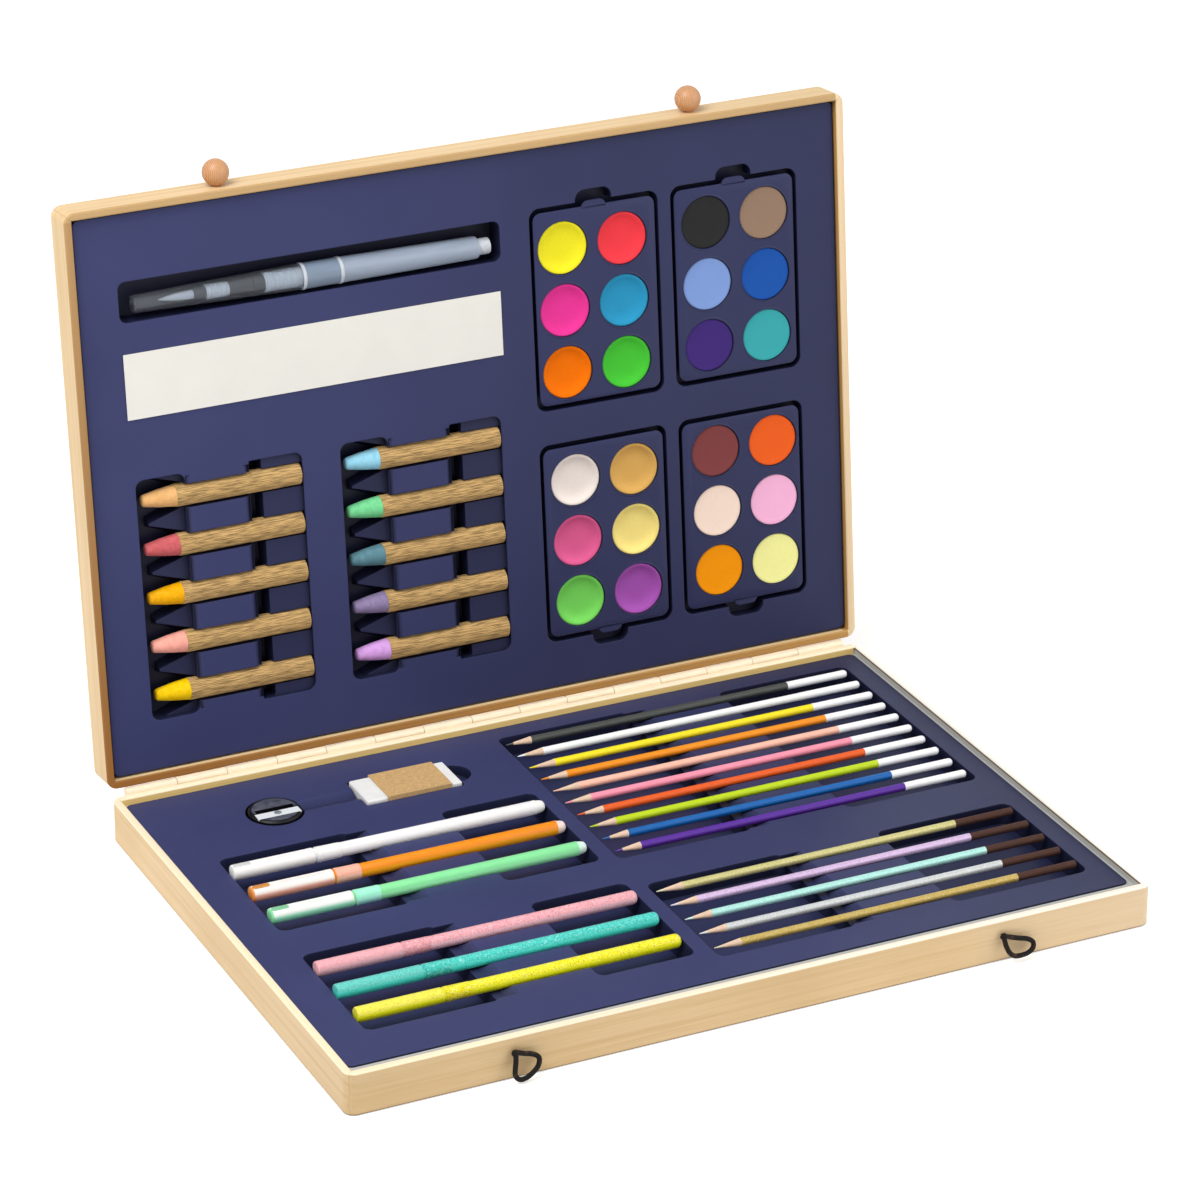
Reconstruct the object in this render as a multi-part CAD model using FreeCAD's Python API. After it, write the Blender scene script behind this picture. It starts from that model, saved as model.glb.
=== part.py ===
import FreeCAD, Part
import math
import os

from FreeCAD import Base

# An art case that stands open: a wooden base and a wooden lid, each with a formed tray of drawing things.
# Millimetres. The origin is the middle of the base's underside, X to the right, Y to the back, Z up.
# Base pieces are built from the left and front outer faces, with Z from the underside.
# Lid pieces are built lying flat, from the left outer face and the hinge side's outer face,
# with Z from the lid's rim, and are then turned up about the hinge line.

# Sheet trays
tray_skin = 0.8
tray_corner = 3.0
well_corner = 4.0
well_draft_share = 0.11
overrun = 1.0

# Case walls and panels
wall = 3.6
corner_radius = 5.0
rim_radius = 0.8
base_panel_thickness = 3.0
lid_panel_thickness = 2.5
base_tray_drop = 3.2
lid_tray_drop = 2.8
base_well_depth = 9.5
lid_well_depth = 9.7
base_floor_gap = 3.1
lid_floor_gap = 1.2
base_side_gap = 1.6
base_front_gap = 7.5
base_back_gap = 0.5
lid_side_gap = 0.9
lid_end_gap = 0.5
spacer_lap = 6.0
lid_open_angle = 96.41

# Pens: their block of wells lies at the left of the base
pen_margin = 23.2
pen_length = 148.5
pen_play = 1.1
pen_finger_length = 61.1
pen_thumb_length = 45.4
pen_channel_radius = 5.5
channel_clearance = 0.3

# Markers
marker_count = 3
marker_pitch = 21.2
marker_edge = 13.8
marker_front = 125.0
marker_radius = 3.2
marker_cap_radius = 3.55
marker_cap_length = 37.8
marker_lift = 0.2

# Glitter pens
glitter_count = 3
glitter_pitch = 20.8
glitter_edge = 13.5
glitter_front = 34.2
glitter_radius = 3.1
glitter_cap_radius = 3.4
glitter_cap_length = 38.6
glitter_lift = 0.1

# Inside of both pens' caps
cap_wall = 0.7
cap_clearance = 0.3
cap_seam = 0.3
neck_length = 17.0
nib_radius = 1.0
nib_length = 7.0
collar_length = 3.0
sleeve_length = 9.5
sleeve_wall = 0.7
tail_length = 4.2
tail_radius = 2.5
clip_width = 2.4
clip_length = 11.0
clip_thickness = 0.35
cap_flat_depth = 0.4

# Pencils: their block of wells lies at the right of the base
column_gap = 7.3
pencil_length = 175.5
pencil_tip_play = 1.5
pencil_end_play = 2.3
pencil_margin = 15.5
pencil_finger_length = 65.8
pencil_thumb_length = 66.5
pencil_radius = 1.8
pencil_point_length = 3.6
pencil_cone_length = 12.3
pencil_lead_radius = 0.6
pencil_tip_radius = 0.2
pencil_dip_length = 31.7
pencil_channel_radius = 4.0
pencil_count = 10
pencil_pitch = 12.42
pencil_edge = 7.3
pencil_back_margin = 14.0
metallic_count = 5
metallic_pitch = 13.55
metallic_edge = 7.9
metallic_front = 27.5
block_gap = 25.1
end_cap_length = 29.0

# Step and ramp at the inner edge of each left well
step_length = 3.7
step_depth = 3.0
ramp_length = 5.0
step_inset = 1.5

# Sharpener, eraser and what joins their recesses
sharpener_left = 63.1
small_row = 226.1
sharpener_radius = 12.0
sharpener_play = 1.1
sharpener_height = 10.2
sharpener_proud = 1.2
sharpener_bevel = 0.8
blade_length = 20.5
blade_width = 5.5
blade_thickness = 0.8
blade_shift = 3.4
blade_seat_clearance = 0.1
chip_slot_length = 18.0
chip_slot_width = 2.6
sharpener_bore_depth = 4.6
sharpener_mouth_radius = 3.6
sharpener_end_radius = 1.0
sharpener_bore_length = 20.0
blade_screw_radius = 1.7
blade_screw_head = 0.5
blade_shank_radius = 0.9
blade_shank_length = 2.5
eraser_left = 103.0
eraser_length = 46.0
eraser_width = 22.0
eraser_thickness = 10.0
eraser_proud = 1.4
eraser_edge_radius = 1.0
eraser_end_play = 0.7
sleeve_shift = 9.7
card_sleeve_length = 31.0
card_thickness = 0.4
card_clearance = 0.15
seat_clearance = 0.3
finger_notch_radius = 8.4
finger_notch_depth = 5.0
groove_width = 11.0
groove_depth = 2.0

# Hinges
hinge_offset = 2.25
hinge_margin = 8.0
leaf_height = 11.0
leaf_thickness = 0.8
knuckle_radius = 2.1
knuckle_gap = 0.3
knuckle_count = 15
pin_radius = 0.9
pin_clearance = 0.15
screw_spacing = 66.0
screw_count = 6
screw_head_radius = 1.6
screw_head_height = 0.5
screw_shank_radius = 0.75
screw_shank_length = 3.0

# Ball knobs on the lid and elastic loops on the base
knob_inset_left = 73.2
knob_inset_right = 74.7
knob_radius = 6.0
knob_flat_depth = 0.1
dowel_radius = 2.0
dowel_length = 2.6
knot_height = 12.8
knot_radius = 1.6
knot_clearance = 0.3
cord_radius = 1.1
arc_share = 0.45
left_route = [
    (0.8, 0.0, 0.2), (3.6, -0.1, -0.9), (7.6, -0.5, -1.7), (10.5, -1.2, -3.6), (9.6, -2.0, -7.2), (6.4, -2.7, -9.5),
    (3.4, -3.0, -11.0), (0.4, -2.9, -11.1), (-1.3, -2.5, -8.9), (-0.7, -1.6, -6.0), (0.0, -0.8, -3.2),
    (0.2, -0.1, -0.9)]
right_route = [
    (0.9, 0.0, -0.1), (4.2, -0.2, -1.3), (8.4, -0.4, -2.6), (11.6, -0.8, -3.3), (14.2, -1.2, -5.2), (13.9, -1.7, -8.0),
    (11.2, -2.1, -9.5), (7.8, -2.5, -9.6), (4.6, -2.6, -9.4), (2.2, -2.3, -7.8), (0.7, -1.5, -4.8),
    (0.3, -0.6, -2.3), (0.1, -0.1, -0.8)]

# Crayons in the lid
crayon_margin = 24.2
crayon_group_pitch = 96.7
crayon_group_count = 2
crayon_row_count = 5
crayon_first_row = 37.7
crayon_pitch = 22.6
crayon_edge = 10.7
crayon_tip_play = 3.3
crayon_end_play = 0.8
crayon_length = 74.4
crayon_radius = 5.15
crayon_proud = 1.3
crayon_tip_length = 15.5
crayon_tip_radius = 2.75
crayon_tip_round = 0.8
crayon_paper_thickness = 0.4
crayon_paper_glue = 0.02
crayon_shoulder = 0.2
crayon_groove_clearance = 0.3
tip_slot_length = 6.1
cradle_length = 17.0
cradle_depth = 3.5
cradle_mouth_radius = 10.8
platform_length = 30.0
platform_bevel = 2.5
deep_slot_length = 6.7
shelf_depth = 1.8

# Water brush in the lid
brush_recess_margin = 22.7
brush_recess_length = 180.5
brush_recess_low = 210.2
brush_recess_width = 18.4
brush_recess_depth = 10.5
brush_recess_corner = 3.5
brush_draft_share = 0.04
brush_play = 7.3
brush_radius = 6.1
brush_cap_length = 78.0
brush_cap_tip_radius = 4.0
brush_cap_mouth_radius = 6.0
brush_cap_wall = 0.8
brush_collar_length = 19.2
brush_barrel_length = 65.6
brush_barrel_end_radius = 5.15
brush_plug_length = 6.1
brush_plug_radius = 3.75
brush_grip_length = 44.0
brush_grip_radius = 4.6
brush_grip_tip_radius = 2.9
brush_ferrule_length = 6.0
brush_bristle_length = 16.0
brush_bristle_radius = 1.9
brush_bristle_tip_radius = 0.15

# Label strip in the lid
label_margin = 23.0
label_length = 179.1
label_low = 166.8
label_width = 29.5
label_thickness = 0.5

# Palettes in the lid
palette_right_margin = 24.0
palette_column_gap = 6.3
palette_low_margin = 26.05
palette_row_gap = 16.0
palette_recess_width = 64.0
palette_recess_height = 94.5
palette_recess_corner = 5.0
palette_draft_share = 0.06
palette_play_side = 1.75
palette_play_end = 2.25
palette_corner = 4.0
palette_skin = 1.0
palette_notch_width = 18.0
palette_notch_height = 5.4
palette_notch_corner = 4.5
palette_tab_width = 12.0
palette_tab_height = 2.4
pan_radius = 12.2
pan_depth = 5.2
pan_wall = 0.8
pan_pitch_across = 29.6
pan_pitch_along = 29.0
paint_drop = 0.5
paint_dish_depth = 1.2
paint_flat_dish_depth = 0.3

# Sizes that follow from those above
pen_block = pen_length + 2 * pen_play
pencil_block = pencil_tip_play + pencil_length + pencil_end_play
case_width = pen_margin + pen_block + column_gap + pencil_block + pencil_margin
pencil_rows = (pencil_count - 1) * pencil_pitch + 2 * pencil_edge
metallic_rows = (metallic_count - 1) * metallic_pitch + 2 * metallic_edge
marker_rows = (marker_count - 1) * marker_pitch + 2 * marker_edge
glitter_rows = (glitter_count - 1) * glitter_pitch + 2 * glitter_edge
pencil_front = metallic_front + metallic_rows + block_gap
case_depth = pencil_front + pencil_rows + pencil_back_margin
base_height = base_panel_thickness + base_floor_gap + tray_skin + base_well_depth + base_tray_drop
lid_height = lid_panel_thickness + lid_floor_gap + tray_skin + lid_well_depth + lid_tray_drop
base_surface = base_height - base_tray_drop
lid_surface = -lid_tray_drop
pencil_left = pen_margin + pen_block + column_gap
knob_places = (knob_inset_left, case_width - knob_inset_right)
leaf_width = case_width - 2 * hinge_margin
knuckle_pitch = (leaf_width + knuckle_gap) / knuckle_count

right_way = Base.Vector(1, 0, 0)
back_way = Base.Vector(0, 1, 0)
up_way = Base.Vector(0, 0, 1)
nowhere = Base.Vector(0, 0, 0)
quarter_turn = 90

base_placement = Base.Placement(Base.Vector(-case_width / 2, -case_depth / 2, 0), Base.Rotation())
lid_turn = Base.Placement(
    Base.Vector(-case_width / 2, case_depth / 2 + hinge_offset, base_height),
    Base.Rotation(right_way, 180 - lid_open_angle))
lid_placement = lid_turn.multiply(Base.Placement(Base.Vector(0, hinge_offset, 0), Base.Rotation()))


# Shapes used by several pieces
def block(x0, x1, y0, y1, z0, z1):
    """Box between two corners."""
    return Part.makeBox(x1 - x0, y1 - y0, z1 - z0, Base.Vector(x0, y0, z0))


def rounded_outline(x0, x1, y0, y1, radius, z):
    """Closed wire of four sides and four quarter arcs at height z."""
    corners = [
        (x1 - radius, y1 - radius), (x0 + radius, y1 - radius), (x0 + radius, y0 + radius),
        (x1 - radius, y0 + radius)]
    arcs = [
        Part.makeCircle(
            radius, Base.Vector(x, y, z), up_way, quarter_turn * index, quarter_turn * (index + 1))
        for index, (x, y) in enumerate(corners)]
    edges = []
    for index, arc in enumerate(arcs):
        following = arcs[(index + 1) % len(arcs)]
        edges.append(arc)
        edges.append(Part.makeLine(arc.Vertexes[-1].Point, following.Vertexes[0].Point))
    return Part.Wire(edges)


def rounded_block(x0, x1, y0, y1, radius, z0, z1):
    """Upright block with four round corners."""
    face = Part.Face(rounded_outline(x0, x1, y0, y1, radius, z0))
    return face.extrude(Base.Vector(0, 0, z1 - z0))


def tapered_block(x0, x1, y0, y1, radius, surface, bottom, draft_share):
    """Block whose sides lean in below the surface, where its outline is given."""
    wires = []
    for z in (surface + overrun, bottom):
        lean = (surface - z) * draft_share
        wires.append(rounded_outline(x0 + lean, x1 - lean, y0 + lean, y1 - lean, radius, z))
    return Part.makeLoft(wires, True, True)


def turned(points, start):
    """Solid of revolution about a line along X; the points are (distance along X, radius)."""
    corners = [Base.Vector(x, r, 0) for x, r in points]
    face = Part.Face(Part.makePolygon(corners + corners[:1]))
    solid = face.revolve(nowhere, right_way, 4 * quarter_turn)
    solid.translate(start)
    return solid


def rod(x0, x1, y, z, radius):
    """Cylinder along X."""
    return Part.makeCylinder(radius, x1 - x0, Base.Vector(x0, y, z), right_way)


def domed(start, length, radius, steps=4):
    """Points of a rod's far end that closes in an arc, for turned()."""
    points = []
    for step in range(steps + 1):
        angle = math.radians(quarter_turn * step / steps)
        points.append((start + length * math.sin(angle), radius * math.cos(angle)))
    return points


class Mould:
    """One formed sheet: a flat top with hollows, each with its own skin underneath."""

    def __init__(self, surface):
        self.surface = surface
        self.hollows = []
        self.skins = []

    def add(self, hollow, skin):
        self.hollows.append(hollow)
        self.skins.append(skin)

    def well(self, x0, x1, y0, y1, depth, radius=well_corner, draft_share=well_draft_share, until=None):
        """Tapered well with round corners, cut short by an upright wall where until is given."""
        low = self.surface - depth
        hollow = tapered_block(x0, x1, y0, y1, radius, self.surface, low, draft_share)
        skin = tapered_block(
            x0 - tray_skin, x1 + tray_skin, y0 - tray_skin, y1 + tray_skin, radius + tray_skin,
            self.surface, low - tray_skin, draft_share)
        if until is not None:
            far = self.surface + 2 * overrun
            near = low - 2 * tray_skin
            reach = overrun + tray_skin
            hollow = hollow.common(block(x0 - reach, until, y0 - reach, y1 + reach, near, far))
            skin = skin.common(block(x0 - reach, until + tray_skin, y0 - reach, y1 + reach, near, far))
        self.add(hollow, skin)

    def channel(self, x0, x1, y, axis, radius):
        """Half-round channel along X at a height over the surface, with upright sides where it lies deeper."""
        z = self.surface + axis
        solids = []
        for reach in (radius, radius + tray_skin):
            round_run = rod(x0, x1, y, z, reach)
            if axis < 0:
                round_run = round_run.fuse(block(x0, x1, y - reach, y + reach, z, z + reach))
            solids.append(round_run)
        self.add(solids[0], solids[1])

    def cradle(self, x0, x1, y, axis, mouth_radius, end_radius, depth):
        """Half-round hollow along X that narrows from mouth to end, and is flat at a depth."""
        place = Base.Vector(x0, y, self.surface + axis)
        solids = []
        for skin in (0, tray_skin):
            reach = mouth_radius + skin
            cone = Part.makeCone(reach, end_radius + skin, x1 - x0, place, right_way)
            low = self.surface - depth - skin
            solids.append(cone.common(block(x0, x1, y - reach, y + reach, low, self.surface + reach)))
        self.add(solids[0], solids[1])

    def round_well(self, x, y, radius, depth):
        """Upright round well."""
        low = self.surface - depth
        hollow = Part.makeCylinder(radius, depth + overrun, Base.Vector(x, y, low))
        skin = Part.makeCylinder(radius + tray_skin, depth + tray_skin, Base.Vector(x, y, low - tray_skin))
        self.add(hollow, skin)

    def across(self, profile, y0, y1):
        """Hollow of one outline in the XZ plane, carried from y0 to y1."""
        solids = []
        for drop in (0, tray_skin):
            corners = [Base.Vector(x, y0 - drop, self.surface + z - (drop if z < overrun else 0)) for x, z in profile]
            face = Part.Face(Part.makePolygon(corners + corners[:1]))
            solids.append(face.extrude(Base.Vector(0, y1 - y0 + 2 * drop, 0)))
        self.add(solids[0], solids[1])

    def sheet(self, plate, outline):
        """The plate with every hollow formed into it; skins stay inside the outline."""
        skins = [skin.common(outline) for skin in self.skins]
        body = plate.multiFuse(skins).removeSplitter()
        formed = body.cut(self.hollows)
        return formed


# Case
def case_walls(height):
    """Four mitred walls around a rounded outline, with soft rims."""
    outer = rounded_block(0, case_width, 0, case_depth, corner_radius, 0, height)
    inner = block(wall, case_width - wall, wall, case_depth - wall, -overrun, height + overrun)
    ring = outer.cut(inner)
    rims = []
    for edge in ring.Edges:
        heights = [vertex.Point.z for vertex in edge.Vertexes]
        flat = max(heights) - min(heights) < rim_radius
        at_top = min(heights) > height - rim_radius
        at_foot = max(heights) < rim_radius
        middle = edge.valueAt((edge.FirstParameter + edge.LastParameter) / 2)
        inside = wall / 2 < middle.x < case_width - wall / 2 and wall / 2 < middle.y < case_depth - wall / 2
        if flat and (at_top or (at_foot and not inside)):
            rims.append(edge)
    ring = ring.makeFillet(rim_radius, rims)
    half = case_depth / 2
    front = [(0, 0), (case_width, 0), (case_width - half, half), (half, half)]
    left = [(0, 0), (half, half), (0, case_depth)]
    back = [(0, case_depth), (half, half), (case_width - half, half), (case_width, case_depth)]
    right = [(case_width, 0), (case_width, case_depth), (case_width - half, half)]
    walls = []
    for outline in (front, right, back, left):
        corners = [Base.Vector(x, y, 0) for x, y in outline]
        wedge = Part.Face(Part.makePolygon(corners + corners[:1])).extrude(Base.Vector(0, 0, height))
        walls.append(ring.common(wedge).Solids[0])
    return walls


def case_panel(thickness):
    """Flat panel between the walls."""
    return block(wall, case_width - wall, wall, case_depth - wall, 0, thickness)


def hinge_screw_offsets():
    """Middle of every screw along X, from the middle of the case."""
    return [(index - (screw_count - 1) / 2) * screw_spacing for index in range(screw_count)]


def base_walls():
    walls = case_walls(base_height)
    row = base_height - knuckle_radius - knuckle_gap - leaf_height / 2
    holes = [
        Part.makeCylinder(
            screw_shank_radius, screw_shank_length, Base.Vector(case_width / 2 + x, case_depth - screw_shank_length, row),
            back_way)
        for x in hinge_screw_offsets()]
    walls[2] = walls[2].cut(holes)
    return walls


def lid_walls():
    walls = [solid.translated(Base.Vector(0, 0, -lid_height)) for solid in case_walls(lid_height)]
    row = -knuckle_radius - knuckle_gap - leaf_height / 2
    screw_holes = [
        Part.makeCylinder(screw_shank_radius, screw_shank_length, Base.Vector(case_width / 2 + x, 0, row), back_way)
        for x in hinge_screw_offsets()]
    dowel_holes = [
        Part.makeCylinder(
            dowel_radius, dowel_length, Base.Vector(x, case_depth - dowel_length, -lid_height / 2), back_way)
        for x in knob_places]
    walls[0] = walls[0].cut(screw_holes)
    walls[2] = walls[2].cut(dowel_holes)
    return walls


# Hinge: one strip along the case, each leaf built with the pin on the X axis and its wall below it
def hinge_leaf(side, knuckles, bore):
    """Leaf, arms and knuckles as one solid; side is -1 on the base and 1 on the lid."""
    near = side * hinge_offset
    far = side * (hinge_offset - leaf_thickness)
    y0 = min(near, far)
    y1 = max(near, far)
    top = -knuckle_radius - knuckle_gap
    leaf = block(-leaf_width / 2, leaf_width / 2, y0, y1, top - leaf_height, top)
    parts = []
    for x0, x1 in knuckles:
        parts.append(block(x0, x1, y0, y1, top, 0))
        parts.append(rod(x0, x1, 0, 0, knuckle_radius))
    leaf = leaf.multiFuse(parts).removeSplitter()
    cuts = [rod(-leaf_width, leaf_width, 0, 0, bore)]
    for x in hinge_screw_offsets():
        place = Base.Vector(x, y0 - overrun, top - leaf_height / 2)
        cuts.append(Part.makeCylinder(screw_shank_radius, leaf_thickness + 2 * overrun, place, back_way))
    return leaf.cut(cuts)


def hinge_screw(x, side):
    """Pan-head screw through the leaf into the wall."""
    row = -knuckle_radius - knuckle_gap - leaf_height / 2
    face = side * (hinge_offset - leaf_thickness)
    into = Base.Vector(0, side, 0)
    out = Base.Vector(0, -side, 0)
    place = Base.Vector(x, face, row)
    head = Part.makeCylinder(screw_head_radius, screw_head_height, place, out)
    shank = Part.makeCylinder(screw_shank_radius, screw_shank_length + leaf_thickness, place, into)
    return head.fuse(shank).removeSplitter()


def hinge_pieces(side):
    """Leaf and screws and, on the base, the pin; the base has the first knuckle and every other one."""
    outer = leaf_width / 2
    spans = []
    for index in range(knuckle_count):
        start = index * knuckle_pitch - outer
        spans.append((start, start + knuckle_pitch - knuckle_gap))
    if side < 0:
        solids = [hinge_leaf(side, spans[::2], pin_radius), rod(-outer, outer, 0, 0, pin_radius)]
        place = Base.Vector(case_width / 2, case_depth + hinge_offset, base_height)
    else:
        solids = [hinge_leaf(side, spans[1::2], pin_radius + pin_clearance)]
        place = Base.Vector(case_width / 2, -hinge_offset, 0)
    solids.extend(hinge_screw(offset, side) for offset in hinge_screw_offsets())
    return [solid.translated(place) for solid in solids]


# Knobs and loops
def knobs():
    pieces = []
    for x in knob_places:
        centre = Base.Vector(x, case_depth + knob_radius - knob_flat_depth, -lid_height / 2)
        ball = Part.makeSphere(knob_radius, centre)
        reach = 2 * knob_radius
        inside = block(
            x - reach, x + reach, case_depth - reach, case_depth, -lid_height / 2 - reach, -lid_height / 2 + reach)
        dowel = Part.makeCylinder(
            dowel_radius, dowel_length + knob_radius, Base.Vector(x, case_depth - dowel_length, -lid_height / 2),
            back_way)
        pieces.append(ball.cut(inside).fuse(dowel).removeSplitter())
    return pieces


def corded_path(points):
    """Straight runs joined by tangent arcs, with the smallest arc's radius."""
    edges = []
    radii = []
    start = points[0]
    for index in range(1, len(points) - 1):
        before = points[index] - points[index - 1]
        after = points[index + 1] - points[index]
        turn = before.getAngle(after)
        tangent = arc_share * min(before.Length, after.Length)
        radius = tangent / math.tan(turn / 2)
        radii.append(radius)
        before.normalize()
        after.normalize()
        inward = (after - before).normalize()
        first = points[index] - before * tangent
        last = points[index] + after * tangent
        middle = points[index] + inward * (radius / math.cos(turn / 2) - radius)
        edges.append(Part.LineSegment(start, first).toShape())
        edges.append(Part.Arc(first, middle, last).toShape())
        start = last
    edges.append(Part.LineSegment(start, points[-1]).toShape())
    return edges, min(radii)


def corded_tube(edges):
    """Round cord along joined edges."""
    first = edges[0]
    start = first.FirstParameter
    section = Part.Wire(Part.makeCircle(cord_radius, first.valueAt(start), first.tangentAt(start)))
    return Part.Wire(edges).makePipeShell([section], True, False)


def loop(name, x, route):
    """Elastic cord from its knot round to its knot again."""
    knot = Base.Vector(x, -knot_radius - knot_clearance, knot_height)
    points = [knot + Base.Vector(*step) for step in route]
    edges, least = corded_path(points)
    half = len(edges) // 2
    tubes = [corded_tube(edges[:half]), corded_tube(edges[half:])]
    length = sum(edge.Length for edge in edges)
    volume = math.pi * cord_radius ** 2 * length
    print(name, "length", round(length, 1), "least radius", round(least, 2),
          "volume against section times length", round(sum(tube.Volume for tube in tubes) / volume, 3))
    return Part.makeSphere(knot_radius, knot).fuse(tubes).removeSplitter()


# Base tray
def rows(first, pitch, count):
    """Middles of a row of like items."""
    return [first + index * pitch for index in range(count)]


marker_lines = rows(marker_front + marker_edge, marker_pitch, marker_count)
glitter_lines = rows(glitter_front + glitter_edge, glitter_pitch, glitter_count)
pencil_lines = rows(pencil_front + pencil_edge, pencil_pitch, pencil_count)
metallic_lines = rows(metallic_front + metallic_edge, metallic_pitch, metallic_count)


def item_group(mould, left, length, front, depth, finger, thumb, lines, item_radius, lift, channel_radius):
    """Two wells for the fingers, with a channel for each item over the bridge between them."""
    right = left + length
    bridge_left = left + finger
    bridge_right = right - thumb
    mould.well(left, bridge_left, front, front + depth, base_well_depth)
    mould.well(bridge_right, right, front, front + depth, base_well_depth)
    axis = lift - item_radius - channel_clearance + channel_radius
    for y in lines:
        mould.channel(bridge_left - well_corner, bridge_right + well_corner, y, axis, channel_radius)
    profile = [
        (bridge_left - well_corner, overrun), (bridge_left - well_corner, -step_depth),
        (bridge_left + step_length, -step_depth), (bridge_left + step_length + ramp_length, 0),
        (bridge_left + step_length + ramp_length, overrun)]
    mould.across(profile, front + step_inset, front + depth - step_inset)


def base_tray():
    left = wall + base_side_gap
    right = case_width - wall - base_side_gap
    front = wall + base_front_gap
    back = case_depth - wall - base_back_gap
    plate = rounded_block(left, right, front, back, tray_corner, base_surface - tray_skin, base_surface)
    outline = rounded_block(left, right, front, back, tray_corner, 0, base_surface)
    mould = Mould(base_surface)
    item_group(mould, pen_margin, pen_block, marker_front, marker_rows, pen_finger_length, pen_thumb_length,
               marker_lines, marker_radius, marker_lift, pen_channel_radius)
    item_group(mould, pen_margin, pen_block, glitter_front, glitter_rows, pen_finger_length, pen_thumb_length,
               glitter_lines, glitter_radius, glitter_lift, pen_channel_radius)
    item_group(mould, pencil_left, pencil_block, pencil_front, pencil_rows, pencil_finger_length,
               pencil_thumb_length, pencil_lines, pencil_radius, 0, pencil_channel_radius)
    item_group(mould, pencil_left, pencil_block, metallic_front, metallic_rows, pencil_finger_length,
               pencil_thumb_length, metallic_lines, pencil_radius, 0, pencil_channel_radius)
    sharpener_depth = sharpener_height - sharpener_proud + seat_clearance
    mould.round_well(sharpener_left, small_row, sharpener_radius + sharpener_play, sharpener_depth)
    side_play = card_thickness + card_clearance + seat_clearance
    half = eraser_width / 2 + side_play
    eraser_right = eraser_left + eraser_length
    eraser_depth = eraser_thickness - eraser_proud + side_play
    mould.well(eraser_left - eraser_end_play, eraser_right + eraser_end_play, small_row - half, small_row + half,
               eraser_depth, side_play, 0)
    mould.round_well(eraser_right, small_row, finger_notch_radius, finger_notch_depth)
    add_groove(mould)
    return mould.sheet(plate, outline)


def add_groove(mould):
    """Shallow creased groove from the sharpener's recess to the eraser's."""
    x0 = sharpener_left + sharpener_radius
    x1 = eraser_left
    solids = []
    for drop in (0, tray_skin):
        half = groove_width / 2 + drop
        low = mould.surface - groove_depth - drop
        corners = [
            Base.Vector(x0, small_row - half, mould.surface), Base.Vector(x0, small_row, low),
            Base.Vector(x0, small_row + half, mould.surface), Base.Vector(x0, small_row, mould.surface + overrun)]
        face = Part.Face(Part.makePolygon(corners + corners[:1]))
        solids.append(face.extrude(Base.Vector(x1 - x0, 0, 0)))
    mould.add(solids[0], solids[1])


def base_spacer():
    """Four card strips under the tray's rim that fill the gap to the walls."""
    low = base_panel_thickness
    high = base_surface - tray_skin
    side = wall + base_side_gap + spacer_lap
    front = wall + base_front_gap + spacer_lap
    back = case_depth - wall - base_back_gap - spacer_lap
    return [
        block(wall, case_width - wall, wall, front, low, high),
        block(wall, case_width - wall, back, case_depth - wall, low, high),
        block(wall, side, front, back, low, high),
        block(case_width - side, case_width - wall, front, back, low, high)]


# Pencils and pens
def pencil(y):
    """Lead point, wooden shaft with its cone, and dipped end, laid along X."""
    start = Base.Vector(pencil_left + pencil_tip_play, y, base_surface)
    point = turned(
        [(0, 0), (0, pencil_tip_radius), (pencil_point_length, pencil_lead_radius), (pencil_point_length, 0)], start)
    dip = pencil_length - pencil_dip_length
    shaft = turned(
        [(pencil_point_length, 0), (pencil_point_length, pencil_lead_radius), (pencil_cone_length, pencil_radius),
         (dip, pencil_radius), (dip, 0)], start)
    end = turned(
        [(dip, 0), (dip, pencil_radius)] + domed(pencil_length - pencil_radius, pencil_radius, pencil_radius), start)
    return [point, shaft, end]


def metallic_pencil(y):
    """Lead point, coated shaft and bare dark end with a flat cut."""
    start = Base.Vector(pencil_left + pencil_tip_play, y, base_surface)
    point = turned(
        [(0, 0), (0, pencil_tip_radius), (pencil_point_length, pencil_lead_radius), (pencil_point_length, 0)], start)
    bare = pencil_length - end_cap_length
    shaft = turned(
        [(pencil_point_length, 0), (pencil_point_length, pencil_lead_radius), (pencil_cone_length, pencil_radius),
         (bare, pencil_radius), (bare, 0)], start)
    end = turned([(bare, 0), (bare, pencil_radius), (pencil_length, pencil_radius), (pencil_length, 0)], start)
    return [point, shaft, end]


def pen_body(y, lift, radius, cap_radius, cap_length, round_tail):
    """Nib, neck, collar, front sleeve, barrel and tail, laid along X."""
    start = Base.Vector(pen_margin + pen_play, y, base_surface + lift)
    neck_radius = cap_radius - cap_wall - cap_clearance
    collar = cap_length + cap_seam
    sleeve = collar + collar_length
    barrel = sleeve + sleeve_length
    neck = cap_length - neck_length
    tail = pen_length - tail_length
    sleeve_bore = radius - sleeve_wall
    outline = [
        (neck, 0), (neck, neck_radius), (collar, neck_radius), (collar, cap_radius), (sleeve, cap_radius),
        (sleeve, sleeve_bore), (barrel, sleeve_bore), (barrel, radius), (tail, radius)]
    if round_tail:
        outline += domed(tail, tail_length, radius)[1:]
    else:
        outline += [(tail, tail_radius)] + domed(pen_length - tail_radius / 2, tail_radius / 2, tail_radius)
    body = turned(outline, start)
    nib = turned(
        [(neck - nib_length, 0), (neck - nib_length, nib_radius / 2), (neck - nib_length / 2, nib_radius),
         (neck, nib_radius), (neck, 0)], start)
    ring = turned(
        [(sleeve, sleeve_bore), (sleeve, cap_radius - sleeve_wall / 4), (barrel, cap_radius - sleeve_wall / 4),
         (barrel, sleeve_bore)], start)
    return [body, nib, ring]


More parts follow.
